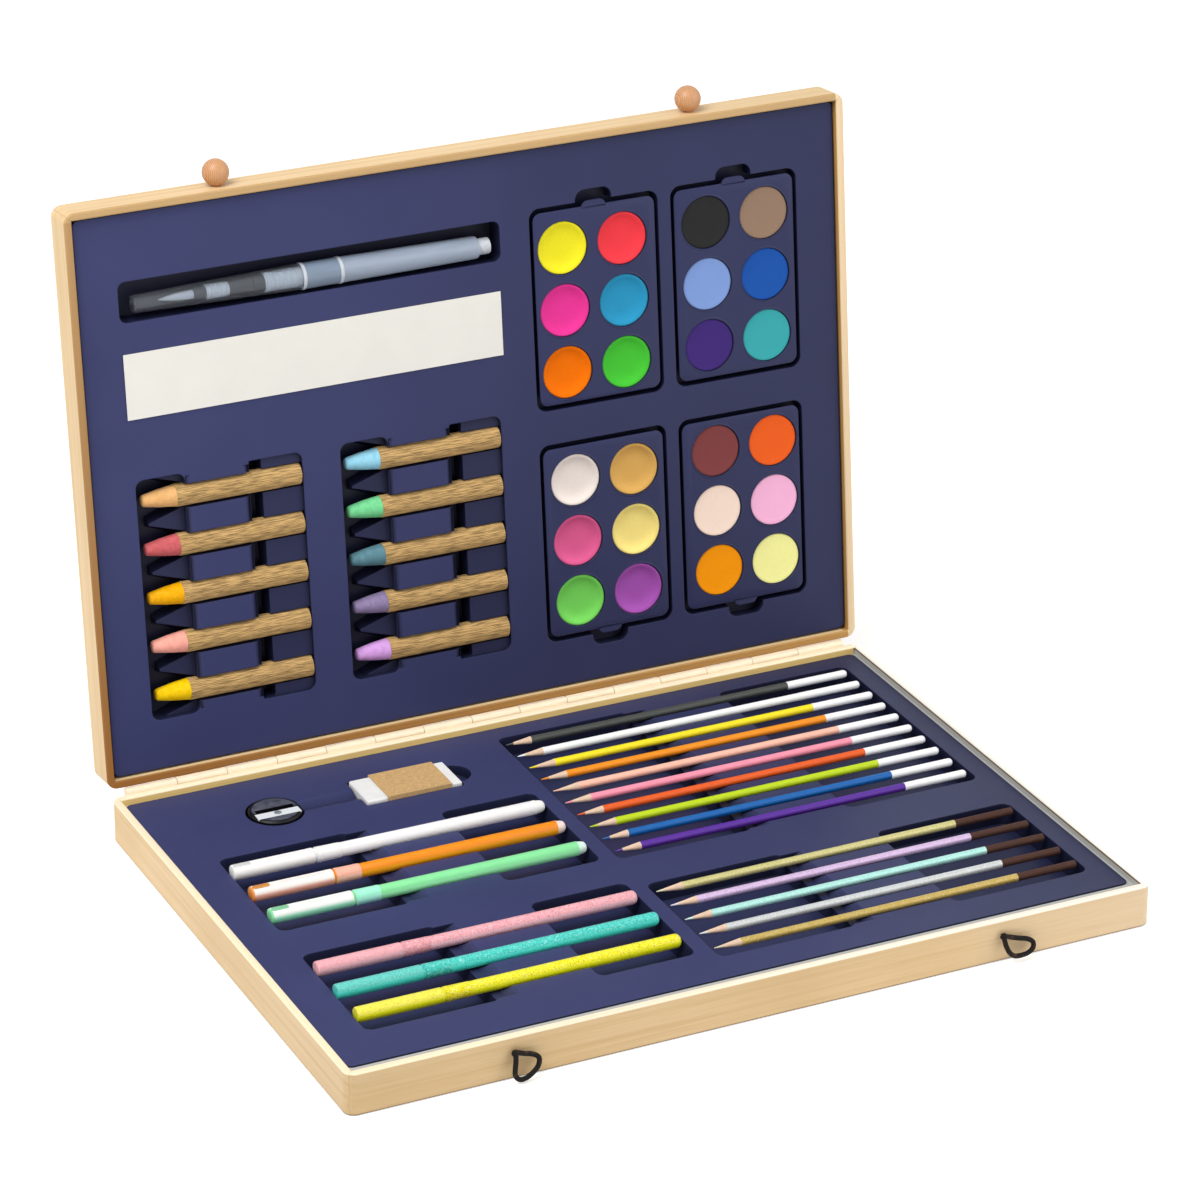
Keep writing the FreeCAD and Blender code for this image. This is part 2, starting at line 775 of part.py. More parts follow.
def pen_cap(y, lift, cap_radius, cap_length, clipped):
    """Hollow cap with a flat along its top."""
    start = Base.Vector(pen_margin + pen_play, y, base_surface + lift)
    bore = cap_radius - cap_wall
    floor = cap_length - neck_length - nib_length - 2 * cap_wall
    bevel = cap_wall
    cap = turned(
        [(0, 0), (0, cap_radius - bevel), (bevel, cap_radius), (cap_length, cap_radius), (cap_length, bore),
         (floor, bore), (floor, 0)], start)
    if not clipped:
        return [cap]
    flat = start.z + cap_radius - cap_flat_depth
    above = block(start.x - overrun, start.x + cap_length - collar_length, y - cap_radius, y + cap_radius, flat,
                  flat + cap_radius)
    clip = block(start.x + bevel, start.x + clip_length, y - clip_width / 2, y + clip_width / 2,
                 flat - cap_flat_depth / 2, flat + clip_thickness)
    return [cap.cut(above).fuse(clip).removeSplitter()]


# Sharpener and eraser
def sharpener_body():
    """Round body with a conical bore, a chip slot beside the blade and a seat for the blade."""
    low = base_surface + sharpener_proud - sharpener_height
    top = base_surface + sharpener_proud
    body = Part.makeCylinder(sharpener_radius, sharpener_height, Base.Vector(sharpener_left, small_row, low))
    rims = [edge for edge in body.Edges if edge.Closed and edge.Vertexes[0].Point.z > top - sharpener_bevel]
    body = body.makeChamfer(sharpener_bevel, rims)
    axis = top - sharpener_bore_depth
    mouth = Base.Vector(sharpener_left + sharpener_radius, small_row, axis)
    bore = Part.makeCone(
        sharpener_mouth_radius, sharpener_end_radius, sharpener_bore_length, mouth, Base.Vector(-1, 0, 0))
    blade_y = small_row - blade_shift
    half_length = blade_length / 2 + blade_seat_clearance
    half_width = blade_width / 2 + blade_seat_clearance
    seat = block(
        sharpener_left - half_length, sharpener_left + half_length, blade_y - half_width, blade_y + half_width,
        top - blade_thickness, top + overrun)
    slot_front = blade_y + half_width
    slot = block(
        sharpener_left - chip_slot_length / 2, sharpener_left + chip_slot_length / 2, slot_front,
        slot_front + chip_slot_width, axis, top + overrun)
    hole = Part.makeCylinder(
        blade_shank_radius, blade_shank_length,
        Base.Vector(sharpener_left, blade_y, top - blade_thickness - blade_shank_length))
    return body.cut([bore, seat, slot, hole])


def sharpener_blade():
    """Steel blade in its seat, and the screw that holds it."""
    top = base_surface + sharpener_proud
    blade_y = small_row - blade_shift
    under = top - blade_thickness
    blade = block(
        sharpener_left - blade_length / 2, sharpener_left + blade_length / 2, blade_y - blade_width / 2,
        blade_y + blade_width / 2, under, top)
    foot = Base.Vector(sharpener_left, blade_y, under - blade_shank_length)
    shank = Part.makeCylinder(blade_shank_radius, blade_shank_length + blade_thickness, foot)
    head = Part.makeCylinder(blade_screw_radius, blade_screw_head, Base.Vector(sharpener_left, blade_y, top))
    return [blade.cut(shank), shank.fuse(head).removeSplitter()]


def eraser():
    top = base_surface + eraser_proud
    half = eraser_width / 2
    solid = block(eraser_left, eraser_left + eraser_length, small_row - half, small_row + half,
                  top - eraser_thickness, top)
    return solid.makeFillet(eraser_edge_radius, solid.Edges)


def eraser_sleeve():
    """Card band around the eraser, which it slides along."""
    top = base_surface + eraser_proud
    left = eraser_left + sleeve_shift
    right = left + card_sleeve_length
    bands = []
    for spread in (card_clearance, card_clearance + card_thickness):
        half = eraser_width / 2 + spread
        bands.append(
            block(left, right, small_row - half, small_row + half, top - eraser_thickness - spread, top + spread))
    return bands[1].cut(bands[0])


# Lid tray
palette_lefts = (
    case_width - palette_right_margin - 2 * palette_recess_width - palette_column_gap,
    case_width - palette_right_margin - palette_recess_width)
palette_lows = (palette_low_margin + palette_recess_height + palette_row_gap, palette_low_margin)
crayon_lines = rows(crayon_first_row, crayon_pitch, crayon_row_count)
crayon_lefts = rows(crayon_margin, crayon_group_pitch, crayon_group_count)
crayon_axis = crayon_proud - crayon_radius
palette_depth = pan_depth + pan_wall + seat_clearance


def crayon_wells(mould, left):
    """Slots at both ends, cradles for the tips, a bevelled platform and a shallow shelf."""
    low = crayon_lines[0] - crayon_edge
    high = crayon_lines[-1] + crayon_edge
    cradle = left + tip_slot_length
    platform = cradle + cradle_length
    slot = platform + platform_length
    shelf = slot + deep_slot_length
    right = left + crayon_tip_play + crayon_length + crayon_end_play
    mould.well(left, platform, low, high, lid_well_depth, until=cradle)
    mould.well(left, platform, low, high, cradle_depth)
    mould.well(slot, shelf, low, high, lid_well_depth, tray_skin)
    mould.well(slot, right, low, high, shelf_depth)
    groove = crayon_radius + crayon_groove_clearance
    for y in crayon_lines:
        mould.channel(cradle, right, y, crayon_axis, groove)
        mould.cradle(cradle, platform, y, crayon_axis, cradle_mouth_radius, groove, lid_well_depth)
    fall = platform_bevel / 2
    for x, left_drop, right_drop in ((platform, fall, 0), (slot - platform_bevel, 0, fall)):
        end = x + platform_bevel
        profile = [(x, overrun), (x, -left_drop), (end, -right_drop), (end, overrun)]
        mould.across(profile, low + step_inset, high - step_inset)


def palette_recess(mould, left, low, upper):
    """Recess for one palette, with a finger notch at its outer end."""
    right = left + palette_recess_width
    high = low + palette_recess_height
    middle = (left + right) / 2
    mould.well(left, right, low, high, palette_depth, palette_recess_corner, palette_draft_share)
    half = palette_notch_width / 2
    if upper:
        notch_low = high - 2 * palette_notch_corner
        notch_high = high + palette_notch_height
    else:
        notch_low = low - palette_notch_height
        notch_high = low + 2 * palette_notch_corner
    mould.well(middle - half, middle + half, notch_low, notch_high, palette_depth, palette_notch_corner,
               palette_draft_share)


def lid_tray():
    left = wall + lid_side_gap
    right = case_width - wall - lid_side_gap
    low = wall + lid_side_gap
    high = case_depth - wall - lid_end_gap
    foot = lid_panel_thickness - lid_height
    mould = Mould(lid_surface)
    for crayon_left in crayon_lefts:
        crayon_wells(mould, crayon_left)
    mould.well(
        brush_recess_margin, brush_recess_margin + brush_recess_length, brush_recess_low,
        brush_recess_low + brush_recess_width, brush_recess_depth, brush_recess_corner, brush_draft_share)
    for palette_left in palette_lefts:
        palette_recess(mould, palette_left, palette_lows[0], True)
        palette_recess(mould, palette_left, palette_lows[1], False)
    whole = rounded_block(left, right, low, high, tray_corner, foot, lid_surface)
    inside = rounded_block(
        left + tray_skin, right - tray_skin, low + tray_skin, high - tray_skin, tray_corner - tray_skin,
        foot - overrun, lid_surface - tray_skin)
    return mould.sheet(whole.cut(inside), whole)


# What the lid carries
def crayon(left, y):
    """Wax stick with a blunt cone, and the paper around it."""
    start = Base.Vector(left + crayon_tip_play, y, lid_surface + crayon_axis)
    bore = crayon_radius - crayon_paper_thickness
    core = bore - crayon_paper_glue
    wax = turned(
        [(0, 0), (0, crayon_tip_radius - crayon_tip_round), (crayon_tip_round, crayon_tip_radius),
         (crayon_tip_length, crayon_radius - crayon_shoulder), (crayon_tip_length, core), (crayon_length, core),
         (crayon_length, 0)], start)
    paper = turned(
        [(crayon_tip_length, bore), (crayon_tip_length, crayon_radius), (crayon_length, crayon_radius),
         (crayon_length, bore)], start)
    return [wax, paper]


def palette(left, low, upper, dish_depth):
    """Plate with a tab and six pans, and the paint in each."""
    x0 = left + palette_play_side
    x1 = left + palette_recess_width - palette_play_side
    y0 = low + palette_play_end
    y1 = low + palette_recess_height - palette_play_end
    middle = Base.Vector((x0 + x1) / 2, (y0 + y1) / 2, lid_surface)
    under = lid_surface - palette_skin
    plate = rounded_block(x0, x1, y0, y1, palette_corner, under, lid_surface)
    tab_low = y1 if upper else y0 - palette_tab_height
    half_tab = palette_tab_width / 2
    tab = block(middle.x - half_tab, middle.x + half_tab, tab_low, tab_low + palette_tab_height, under, lid_surface)
    pans = []
    hollows = []
    paints = []
    for column in (-1, 1):
        for row in (-1, 0, 1):
            x = middle.x + column * pan_pitch_across / 2
            y = middle.y + row * pan_pitch_along
            foot = Base.Vector(x, y, lid_surface - pan_depth)
            hollows.append(Part.makeCylinder(pan_radius, pan_depth + overrun, foot))
            pans.append(
                Part.makeCylinder(pan_radius + pan_wall, pan_depth + pan_wall, foot - Base.Vector(0, 0, pan_wall)))
            cake = Part.makeCylinder(pan_radius, pan_depth - paint_drop, foot)
            sphere_radius = (pan_radius ** 2 + dish_depth ** 2) / (2 * dish_depth)
            rise = pan_depth - paint_drop - dish_depth + sphere_radius
            dish = Part.makeSphere(sphere_radius, foot + Base.Vector(0, 0, rise))
            paints.append(cake.cut(dish))
    shell = plate.multiFuse([tab] + pans).removeSplitter()
    return [shell.cut(hollows)] + paints


def brush_start():
    """Closed end of the brush's cap, on the brush's axis."""
    floor = lid_surface - brush_recess_depth + seat_clearance
    row = brush_recess_low + brush_recess_depth * brush_draft_share + seat_clearance + brush_radius
    return Base.Vector(brush_recess_margin + brush_play, row, floor + brush_radius)


def water_brush():
    """Barrel with its collar, plug, grip, ferrule and bristles."""
    start = brush_start()
    collar = brush_cap_length + cap_seam
    barrel = collar + brush_collar_length
    plug = barrel + brush_barrel_length
    grip = collar - brush_grip_length
    ferrule = grip - brush_ferrule_length
    bristle = ferrule - brush_bristle_length
    body = turned(
        [(grip, 0), (grip, brush_grip_tip_radius), (collar, brush_grip_radius), (collar, brush_radius),
         (barrel, brush_radius), (plug, brush_barrel_end_radius), (plug, 0)], start)
    end = turned(
        [(plug, 0), (plug, brush_plug_radius), (plug + brush_plug_length, brush_plug_radius),
         (plug + brush_plug_length, 0)], start)
    ferrule_radius = (brush_bristle_radius + brush_grip_tip_radius) / 2
    sleeve = turned(
        [(ferrule, 0), (ferrule, brush_bristle_radius), (grip, ferrule_radius), (grip, 0)], start)
    hair = turned(
        [(bristle, 0), (bristle, brush_bristle_tip_radius), (ferrule - brush_bristle_length / 2, brush_bristle_radius),
         (ferrule, brush_bristle_radius), (ferrule, 0)], start)
    return [body, end, sleeve, hair]


def brush_cap():
    """Clear hollow cap over the brush's head."""
    start = brush_start()
    tip = brush_cap_tip_radius
    mouth = brush_cap_mouth_radius
    inner_tip = tip - brush_cap_wall
    inner_mouth = mouth - brush_cap_wall
    return turned(
        [(0, 0), (0, tip - brush_cap_wall), (brush_cap_wall, tip), (brush_cap_length, mouth),
         (brush_cap_length, inner_mouth), (2 * brush_cap_wall, inner_tip), (2 * brush_cap_wall, 0)], start)


def label_strip():
    return block(label_margin, label_margin + label_length, label_low, label_low + label_width, lid_surface,
                 lid_surface + label_thickness)


# Writing the pieces
def write(name, solids, placement):
    """Place one node's solids and write them as a STEP file."""
    placed = []
    for solid in solids:
        piece = solid.copy()
        piece.Placement = placement.multiply(piece.Placement)
        placed.append(piece)
    shape = placed[0] if len(placed) == 1 else Part.makeCompound(placed)
    if not shape.isValid():
        print(name, "is not a valid shape")
    shape.exportStep(os.path.join("parts", name + ".step"))


def write_case():
    write("base_frame", base_walls(), base_placement)
    write("base_panel", [case_panel(base_panel_thickness)], base_placement)
    write("base_spacer", base_spacer(), base_placement)
    write("base_tray", base_tray().Solids, base_placement)
    write("lid_frame", lid_walls(), lid_placement)
    write("lid_panel", [case_panel(lid_panel_thickness).translated(Base.Vector(0, 0, -lid_height))], lid_placement)
    write("lid_tray", lid_tray().Solids, lid_placement)
    write("hinge_base", hinge_pieces(-1), base_placement)
    write("hinge_lid", hinge_pieces(1), lid_placement)
    write("knobs", knobs(), lid_placement)
    write("loop_left", [loop("left loop", knob_places[0], left_route)], base_placement)
    write("loop_right", [loop("right loop", knob_places[1], right_route)], base_placement)


def write_base_items():
    for index, y in enumerate(reversed(pencil_lines), start=1):
        write(f"pencil_{index:02d}", pencil(y), base_placement)
    for index, y in enumerate(reversed(metallic_lines), start=1):
        write(f"metallic_pencil_{index}", metallic_pencil(y), base_placement)
    for index, y in enumerate(reversed(marker_lines), start=1):
        body = pen_body(y, marker_lift, marker_radius, marker_cap_radius, marker_cap_length, False)
        cap = pen_cap(y, marker_lift, marker_cap_radius, marker_cap_length, True)
        write(f"marker_{index}", body, base_placement)
        write(f"marker_cap_{index}", cap, base_placement)
    for index, y in enumerate(reversed(glitter_lines), start=1):
        body = pen_body(y, glitter_lift, glitter_radius, glitter_cap_radius, glitter_cap_length, True)
        cap = pen_cap(y, glitter_lift, glitter_cap_radius, glitter_cap_length, False)
        write(f"glitter_pen_{index}", body, base_placement)
        write(f"glitter_cap_{index}", cap, base_placement)
    write("sharpener_body", [sharpener_body()], base_placement)
    write("sharpener_blade", sharpener_blade(), base_placement)
    write("eraser", [eraser()], base_placement)
    write("eraser_sleeve", [eraser_sleeve()], base_placement)


def write_lid_items():
    number = 0
    for left in crayon_lefts:
        for y in reversed(crayon_lines):
            number += 1
            write(f"crayon_{number:02d}", crayon(left, y), lid_placement)
    number = 0
    for low, upper in ((palette_lows[0], True), (palette_lows[1], False)):
        for left, dish_depth in zip(palette_lefts, (paint_dish_depth, paint_flat_dish_depth)):
            number += 1
            write(f"palette_{number}", palette(left, low, upper, dish_depth), lid_placement)
    write("water_brush", water_brush(), lid_placement)
    write("brush_cap", [brush_cap()], lid_placement)
    write("label_strip", [label_strip()], lid_placement)


os.makedirs("parts", exist_ok=True)
print("case", round(case_width, 2), "by", round(case_depth, 2), "by", round(base_height, 2), "and",
      round(lid_height, 2))
write_case()
write_base_items()
write_lid_items()
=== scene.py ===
import math

import bmesh
import bpy
from bpy.props import FloatProperty, FloatVectorProperty, PointerProperty
from mathutils import Matrix, Vector


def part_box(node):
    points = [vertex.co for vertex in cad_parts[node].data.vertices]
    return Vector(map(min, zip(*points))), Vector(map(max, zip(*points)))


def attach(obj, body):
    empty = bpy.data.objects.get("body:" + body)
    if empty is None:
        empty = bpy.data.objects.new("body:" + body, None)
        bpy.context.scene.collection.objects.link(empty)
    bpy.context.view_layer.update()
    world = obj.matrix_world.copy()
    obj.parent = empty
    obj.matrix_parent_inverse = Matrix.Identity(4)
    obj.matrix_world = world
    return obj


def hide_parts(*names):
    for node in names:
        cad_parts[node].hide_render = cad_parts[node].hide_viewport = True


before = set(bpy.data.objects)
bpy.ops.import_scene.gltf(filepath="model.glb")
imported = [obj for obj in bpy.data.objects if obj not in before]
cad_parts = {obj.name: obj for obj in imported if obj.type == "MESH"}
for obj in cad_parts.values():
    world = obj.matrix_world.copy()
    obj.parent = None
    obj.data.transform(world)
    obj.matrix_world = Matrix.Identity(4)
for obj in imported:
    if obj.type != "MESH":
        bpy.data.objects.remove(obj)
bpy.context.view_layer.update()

bl_info = {
    "name": "Art case",
    "version": (1, 0, 0),
    "blender": (4, 5, 0),
    "location": "View3D > Sidebar > Art case",
    "description": "Wooden art case, open, with pencils, pens, crayons, paints and a water brush in formed trays",
    "category": "Add Mesh",
}

MM = 0.001
WHITE = (1, 1, 1)
UPRIGHT = Matrix.Rotation(-math.pi / 2, 4, "Y")

# The case, as the frame gives it
CASE_WIDTH = 376.0 * MM
CASE_DEPTH = 262.98 * MM
BASE_HEIGHT = 19.6 * MM
BASE_SURFACE = 16.4 * MM
HINGE_OFFSET = 2.25 * MM
LID_SURFACE = -2.8 * MM
LID_HEIGHT = 17.0 * MM
LID_TILT = math.radians(180 - 96.41)
LID_PLACE = (
    Matrix.Translation((-CASE_WIDTH / 2, CASE_DEPTH / 2 + HINGE_OFFSET, BASE_HEIGHT))
    @ Matrix.Rotation(LID_TILT, 4, "X")
    @ Matrix.Translation((0, HINGE_OFFSET, 0)))

# Points of the elastic loops, from the middle of each knot, in millimetres
KNOT_OUT = 1.9 * MM
KNOT_HEIGHT = 12.8 * MM
KNOB_PLACES = {"left": 73.2 * MM, "right": 301.3 * MM}
LOOP_ROUTES = {
    "left": [
        (0.8, 0.0, 0.2), (3.6, -0.1, -0.9), (7.6, -0.5, -1.7), (10.5, -1.2, -3.6), (9.6, -2.0, -7.2),
        (6.4, -2.7, -9.5), (3.4, -3.0, -11.0), (0.4, -2.9, -11.1), (-1.3, -2.5, -8.9), (-0.7, -1.6, -6.0),
        (0.0, -0.8, -3.2), (0.2, -0.1, -0.9)],
    "right": [
        (0.9, 0.0, -0.1), (4.2, -0.2, -1.3), (8.4, -0.4, -2.6), (11.6, -0.8, -3.3), (14.2, -1.2, -5.2),
        (13.9, -1.7, -8.0), (11.2, -2.1, -9.5), (7.8, -2.5, -9.6), (4.6, -2.6, -9.4), (2.2, -2.3, -7.8),
        (0.7, -1.5, -4.8), (0.3, -0.6, -2.3), (0.1, -0.1, -0.8)]}

# Where the walls and trays change their tone, most of it painted light and shade; a band says where a tone begins and
# where it is full
WALL_SKIN = 3.0 * MM
RIM_LIGHT_BAND = (0.9 * MM, 0.5 * MM)
LIP_SHADOW_BAND = (1.7 * MM, 1.4 * MM)
FOOT_SHADOW_BAND = (1.0 * MM, 0.6 * MM)
RING_BAND = (1.7 * MM, 1.5 * MM)
SEAM = 0.12 * MM
WELL_DEPTH = 9.7 * MM
CREASE_SHADE_REACH = 4.0 * MM
TRAY_SHADOW_LINE = 4.5 * MM
# Shares of painted shade down the wells, and toward the right side of each tray
WELL_STEPS = (0.0, 0.35, 0.6, 0.82, 0.96)
LID_WELL_SHADE = (0.85, 0.72, 0.58, 0.42, 0.2)
BASE_WELL_SHADE = (0.3, 0.35, 0.4, 0.35, 0.12)
LID_RIGHT_SHADE = ((0.3, 0.0), (0.6, 0.3), (1.0, 0.42))
BASE_RIGHT_SHADE = ((0.4, 0.0), (0.7, 0.22), (1.0, 0.52))

# Details of the pieces, in millimetres
COAT = 0.05
PEN_SEAM = 0.3
PEN_STEP = 0.15
CAP_HOLLOW = 24.0
CAP_WALL = 0.7
MARKER_FLAT = 0.55
MARKER_RAISE = 0.2
DOWEL_RADIUS = 2.0
DOWEL_LENGTH = 4.0
DOWEL_SUNK = 2.6
BLADE_GRIND = 0.7
TAB_ROUND = 3.2
BRUSH_SEAM = 0.3
CRAYON_RIBS = 44


# Values that a user would change
def tone(red, green, blue):
    """Colour of 0 to 255 as the shaders take it."""
    values = []
    for channel in (red, green, blue):
        share = channel / 255
        values.append(share / 12.92 if share <= 0.04045 else ((share + 0.055) / 1.055) ** 2.4)
    return tuple(values)


def colour(name, about, red, green, blue):
    """Colour value of a settings group."""
    return FloatVectorProperty(
        name=name, description=about, subtype="COLOR", size=3, min=0.0, max=1.0, default=tone(red, green, blue))


def size(name, about, millimetres):
    """Length of a settings group."""
    return FloatProperty(
        name=name, description=about, unit="LENGTH", min=0.0, precision=5, default=millimetres * MM)


class ArtCaseBody(bpy.types.PropertyGroup):
    wood: colour("Wood", "Lacquered walls and panels", 230, 199, 152)
    grain: colour("Grain", "Darker streaks in the walls", 214, 179, 126)
    # Painted light: the base's rims take lit, lighter copies of the wood's tone.
    base_rim: colour("Base rim", "Upper edge of the base's left wall", 248, 228, 192)
    base_rim_front: colour("Base rim front", "Upper edge of the front wall toward the right", 252, 240, 226)
    base_rim_back: colour("Base rim back", "Upper edge of the back wall", 255, 238, 205)
    base_rim_right: colour("Base rim right", "Upper edge of the right wall", 255, 252, 242)
    # Painted light and shade: a tone of its own for the inner faces of the base's walls.
    base_inner: colour("Base inner", "Inner faces of the base's walls", 250, 214, 136)
    # Painted shadow: a dark line along the base's foot and inside the right wall's upper edge.
    base_line: colour("Base line", "Dark line at the foot and inside the right wall's edge", 126, 98, 58)
    # Painted shade and light: the lid's rims take shaded copies of the wood, lit on the right.
    lid_rim: colour("Lid rim", "Front edge of the lid's lower and left walls", 150, 98, 42)
    lid_rim_low: colour("Lid rim low", "The lower wall's edge toward the right", 190, 145, 82)
    lid_rim_top: colour("Lid rim top", "Front edge of the lid's upper wall", 196, 160, 110)
    lid_rim_right: colour("Lid rim right", "Front edge of the lid's right wall", 238, 210, 170)
    # Painted shade: near-black on the inner faces of the lid's walls.
    lid_inner: colour("Lid inner", "Shaded inner faces of the lid's walls", 40, 28, 20)
    tray: colour("Base tray", "Formed plastic sheet of the base", 56, 61, 101)
    lid_tray: colour("Lid tray", "Formed plastic sheet of the lid", 56, 60, 101)
    card: colour("Card", "Card strips between the base's walls and its tray", 184, 184, 180)
    # Painted light: the hinge is near cream-white for the bright strip along the hinge line.
    brass: colour("Brass", "Strip hinge", 250, 233, 204)
    label: colour("Label", "Plain strip of textured card", 236, 233, 225)


class ArtCasePencils(bpy.types.PropertyGroup):
    radius: size("Radius", "Half of a pencil's thickness", 1.8)
    length: size("Length", "Length from tip to end", 175.5)
    lead_radius: size("Lead radius", "Half of the lead's thickness where the wood begins", 0.6)
    point: size("Point", "Length of bare lead", 3.6)
    cone: size("Cone", "Length of the sharpened end", 12.3)
    dip: size("Dip", "Length of the dipped end", 31.7)
    bare_end: size("Bare end", "Length of a metallic pencil's dark end", 29.0)
    wood: colour("Wood", "Sharpened wood", 236, 204, 178)
    dipped: colour("Dipped end", "Lacquer of the dipped end", 248, 249, 250)
    dark_wood: colour("Dark wood", "Bare end of the metallic pencils", 74, 46, 36)
    graphite: colour("Graphite", "First pencil from the back", 68, 72, 68)
    white: colour("White", "Second pencil", 244, 246, 245)
    yellow: colour("Yellow", "Third pencil", 246, 226, 30)
    orange: colour("Orange", "Fourth pencil", 242, 146, 20)
    peach: colour("Peach", "Fifth pencil", 250, 190, 168)
    pink: colour("Pink", "Sixth pencil", 248, 150, 172)
    red_orange: colour("Red orange", "Seventh pencil", 230, 94, 28)
    lime: colour("Lime", "Eighth pencil", 190, 214, 18)
    blue: colour("Blue", "Ninth pencil", 6, 96, 170)
    purple: colour("Purple", "Tenth pencil", 86, 36, 150)
    pale_gold: colour("Pale gold", "First metallic pencil from the back", 206, 198, 126)
    lilac: colour("Lilac", "Second metallic pencil", 214, 184, 222)
    mint: colour("Mint", "Third metallic pencil", 176, 232, 222)
    silver: colour("Silver", "Fourth metallic pencil", 206, 210, 210)
    gold: colour("Gold", "Fifth metallic pencil", 196, 168, 78)


class ArtCasePens(bpy.types.PropertyGroup):
    length: size("Length", "Length of a pen with its cap", 148.5)
    marker_radius: size("Marker radius", "Half of a marker's thickness", 3.2)
    marker_cap_radius: size("Marker cap radius", "Half of a marker cap's thickness", 3.55)
    marker_cap: size("Marker cap", "Length of a marker's cap", 37.8)
    glitter_radius: size("Glitter pen radius", "Half of a glitter pen's thickness", 3.1)
    glitter_cap_radius: size("Glitter cap radius", "Half of a glitter pen cap's thickness", 3.4)
    glitter_cap: size("Glitter cap", "Length of a glitter pen's cap", 38.6)
    collar: size("Collar", "Ring between cap and sleeve", 3.0)
    sleeve: size("Sleeve", "Pale sleeve behind the collar", 9.5)
    tail: size("Tail", "Plug at the end of the barrel", 4.2)
    white: colour("White", "First marker from the back", 250, 250, 248)
    orange: colour("Orange", "Second marker", 246, 142, 16)
    green: colour("Green", "Third marker", 136, 226, 156)
    white_sleeve: colour("White sleeve", "Sleeve and cap side of the first marker", 244, 243, 238)
    orange_sleeve: colour("Orange sleeve", "Sleeve and cap side of the second marker", 254, 178, 156)
    green_sleeve: colour("Green sleeve", "Sleeve and cap side of the third marker", 160, 242, 206)
    pink: colour("Pink", "First glitter pen from the back", 250, 172, 180)
    teal: colour("Teal", "Second glitter pen", 70, 208, 196)
    yellow: colour("Yellow", "Third glitter pen", 252, 238, 20)


class ArtCaseSmallTools(bpy.types.PropertyGroup):
    body: colour("Sharpener", "Sharpener's body", 62, 66, 84)
    # Dark round the sharpener's edge, and painted shade on its sides and in its slot.
    body_ring: colour("Sharpener ring", "Sharpener's outer ring and slot", 12, 12, 16)
    steel: colour("Steel", "Blade", 236, 241, 245)
    screw: colour("Screw", "Blade's screw", 150, 158, 168)
    rubber: colour("Eraser", "Rubber block", 232, 232, 230)
    sleeve: colour("Sleeve", "Card band round the eraser", 198, 162, 112)
    blade_length: size("Blade length", "Length of the blade", 20.5)
    blade_width: size("Blade width", "Width of the blade", 5.5)
    blade_thickness: size("Blade thickness", "Thickness of the blade", 0.8)


class ArtCaseCrayons(bpy.types.PropertyGroup):
    length: size("Length", "Length of a crayon", 74.4)
    radius: size("Radius", "Half of its thickness with the paper", 5.15)
    tip: size("Tip", "Length of bare wax", 15.5)
    tip_radius: size("Tip radius", "Half of the blunt end's thickness", 2.75)
    paper: colour("Paper", "Ribbed paper", 184, 150, 98)
    tan: colour("Tan", "First crayon of the left group", 232, 178, 116)
    rose: colour("Rose", "Second crayon of the left group", 204, 98, 102)
    amber: colour("Amber", "Third crayon of the left group", 244, 174, 4)
    salmon: colour("Salmon", "Fourth crayon of the left group", 250, 170, 154)
    yellow: colour("Yellow", "Fifth crayon of the left group", 250, 204, 6)
    sky: colour("Sky", "First crayon of the right group", 148, 208, 230)
    green: colour("Green", "Second crayon of the right group", 118, 212, 146)
    slate: colour("Slate", "Third crayon of the right group", 92, 134, 146)
    mauve: colour("Mauve", "Fourth crayon of the right group", 142, 126, 164)
    lilac: colour("Lilac", "Fifth crayon of the right group", 214, 160, 226)


class ArtCasePaints(bpy.types.PropertyGroup):
    width: size("Plate width", "Width of a palette", 60.5)
    height: size("Plate height", "Height of a palette", 90.0)
    corner: size("Corner", "Radius of a palette's corners", 4.0)
    skin: size("Skin", "Thickness of a palette's plate", 1.0)
    tab_width: size("Tab width", "Width of the finger tab", 12.0)
    tab_height: size("Tab height", "Height of the finger tab", 2.4)
    pan_radius: size("Pan radius", "Half of a pan's width inside", 12.2)
    pan_depth: size("Pan depth", "Depth of a pan inside", 5.2)
    pan_wall: size("Pan wall", "Thickness of a pan's wall", 0.8)
    across: size("Pitch across", "Spacing of the two columns of pans", 29.6)
    along: size("Pitch along", "Spacing of the three rows of pans", 29.0)
    drop: size("Paint drop", "How far the paint's rim lies under the plate", 0.5)
    dish: size("Dish", "Hollow in the paint of the two left palettes", 2.2)
    flat_dish: size("Flat dish", "Hollow in the paint of the two right palettes", 0.3)


class ArtCaseBrush(bpy.types.PropertyGroup):
    cap_length: size("Cap length", "Length of the clear cap", 78.0)
    cap_tip: size("Cap tip radius", "Half of the cap's closed end", 4.0)
    cap_mouth: size("Cap mouth radius", "Half of the cap's open end", 6.0)
    collar: size("Collar", "Length of the collar behind the cap", 19.2)
    radius: size("Radius", "Half of the collar's thickness", 6.1)
    barrel: size("Barrel", "Length of the barrel", 65.6)
    barrel_end: size("Barrel end radius", "Half of the barrel's far end", 5.15)
    plug: size("Plug", "Length of the end plug", 6.1)
    plug_radius: size("Plug radius", "Half of the plug's thickness", 3.75)
    frost: colour("Frost", "Frosted barrel", 160, 172, 190)
    collar_frost: colour("Collar frost", "Frosted collar", 134, 150, 170)
    clear: colour("Clear", "Clear cap", 214, 220, 228)
    hair: colour("Hair", "Bristles", 232, 234, 236)


class ArtCaseLoops(bpy.types.PropertyGroup):
    radius: size("Cord radius", "Half of the elastic cord's thickness", 1.1)
    knot_radius: size("Knot radius", "Half of a knot's width", 1.6)
    cord: colour("Cord", "Elastic cord", 17, 14, 13)
    knob_radius: size("Knob radius", "Half of a ball knob", 6.0)
    knob: colour("Knob", "Turned wood of the knobs", 198, 144, 98)


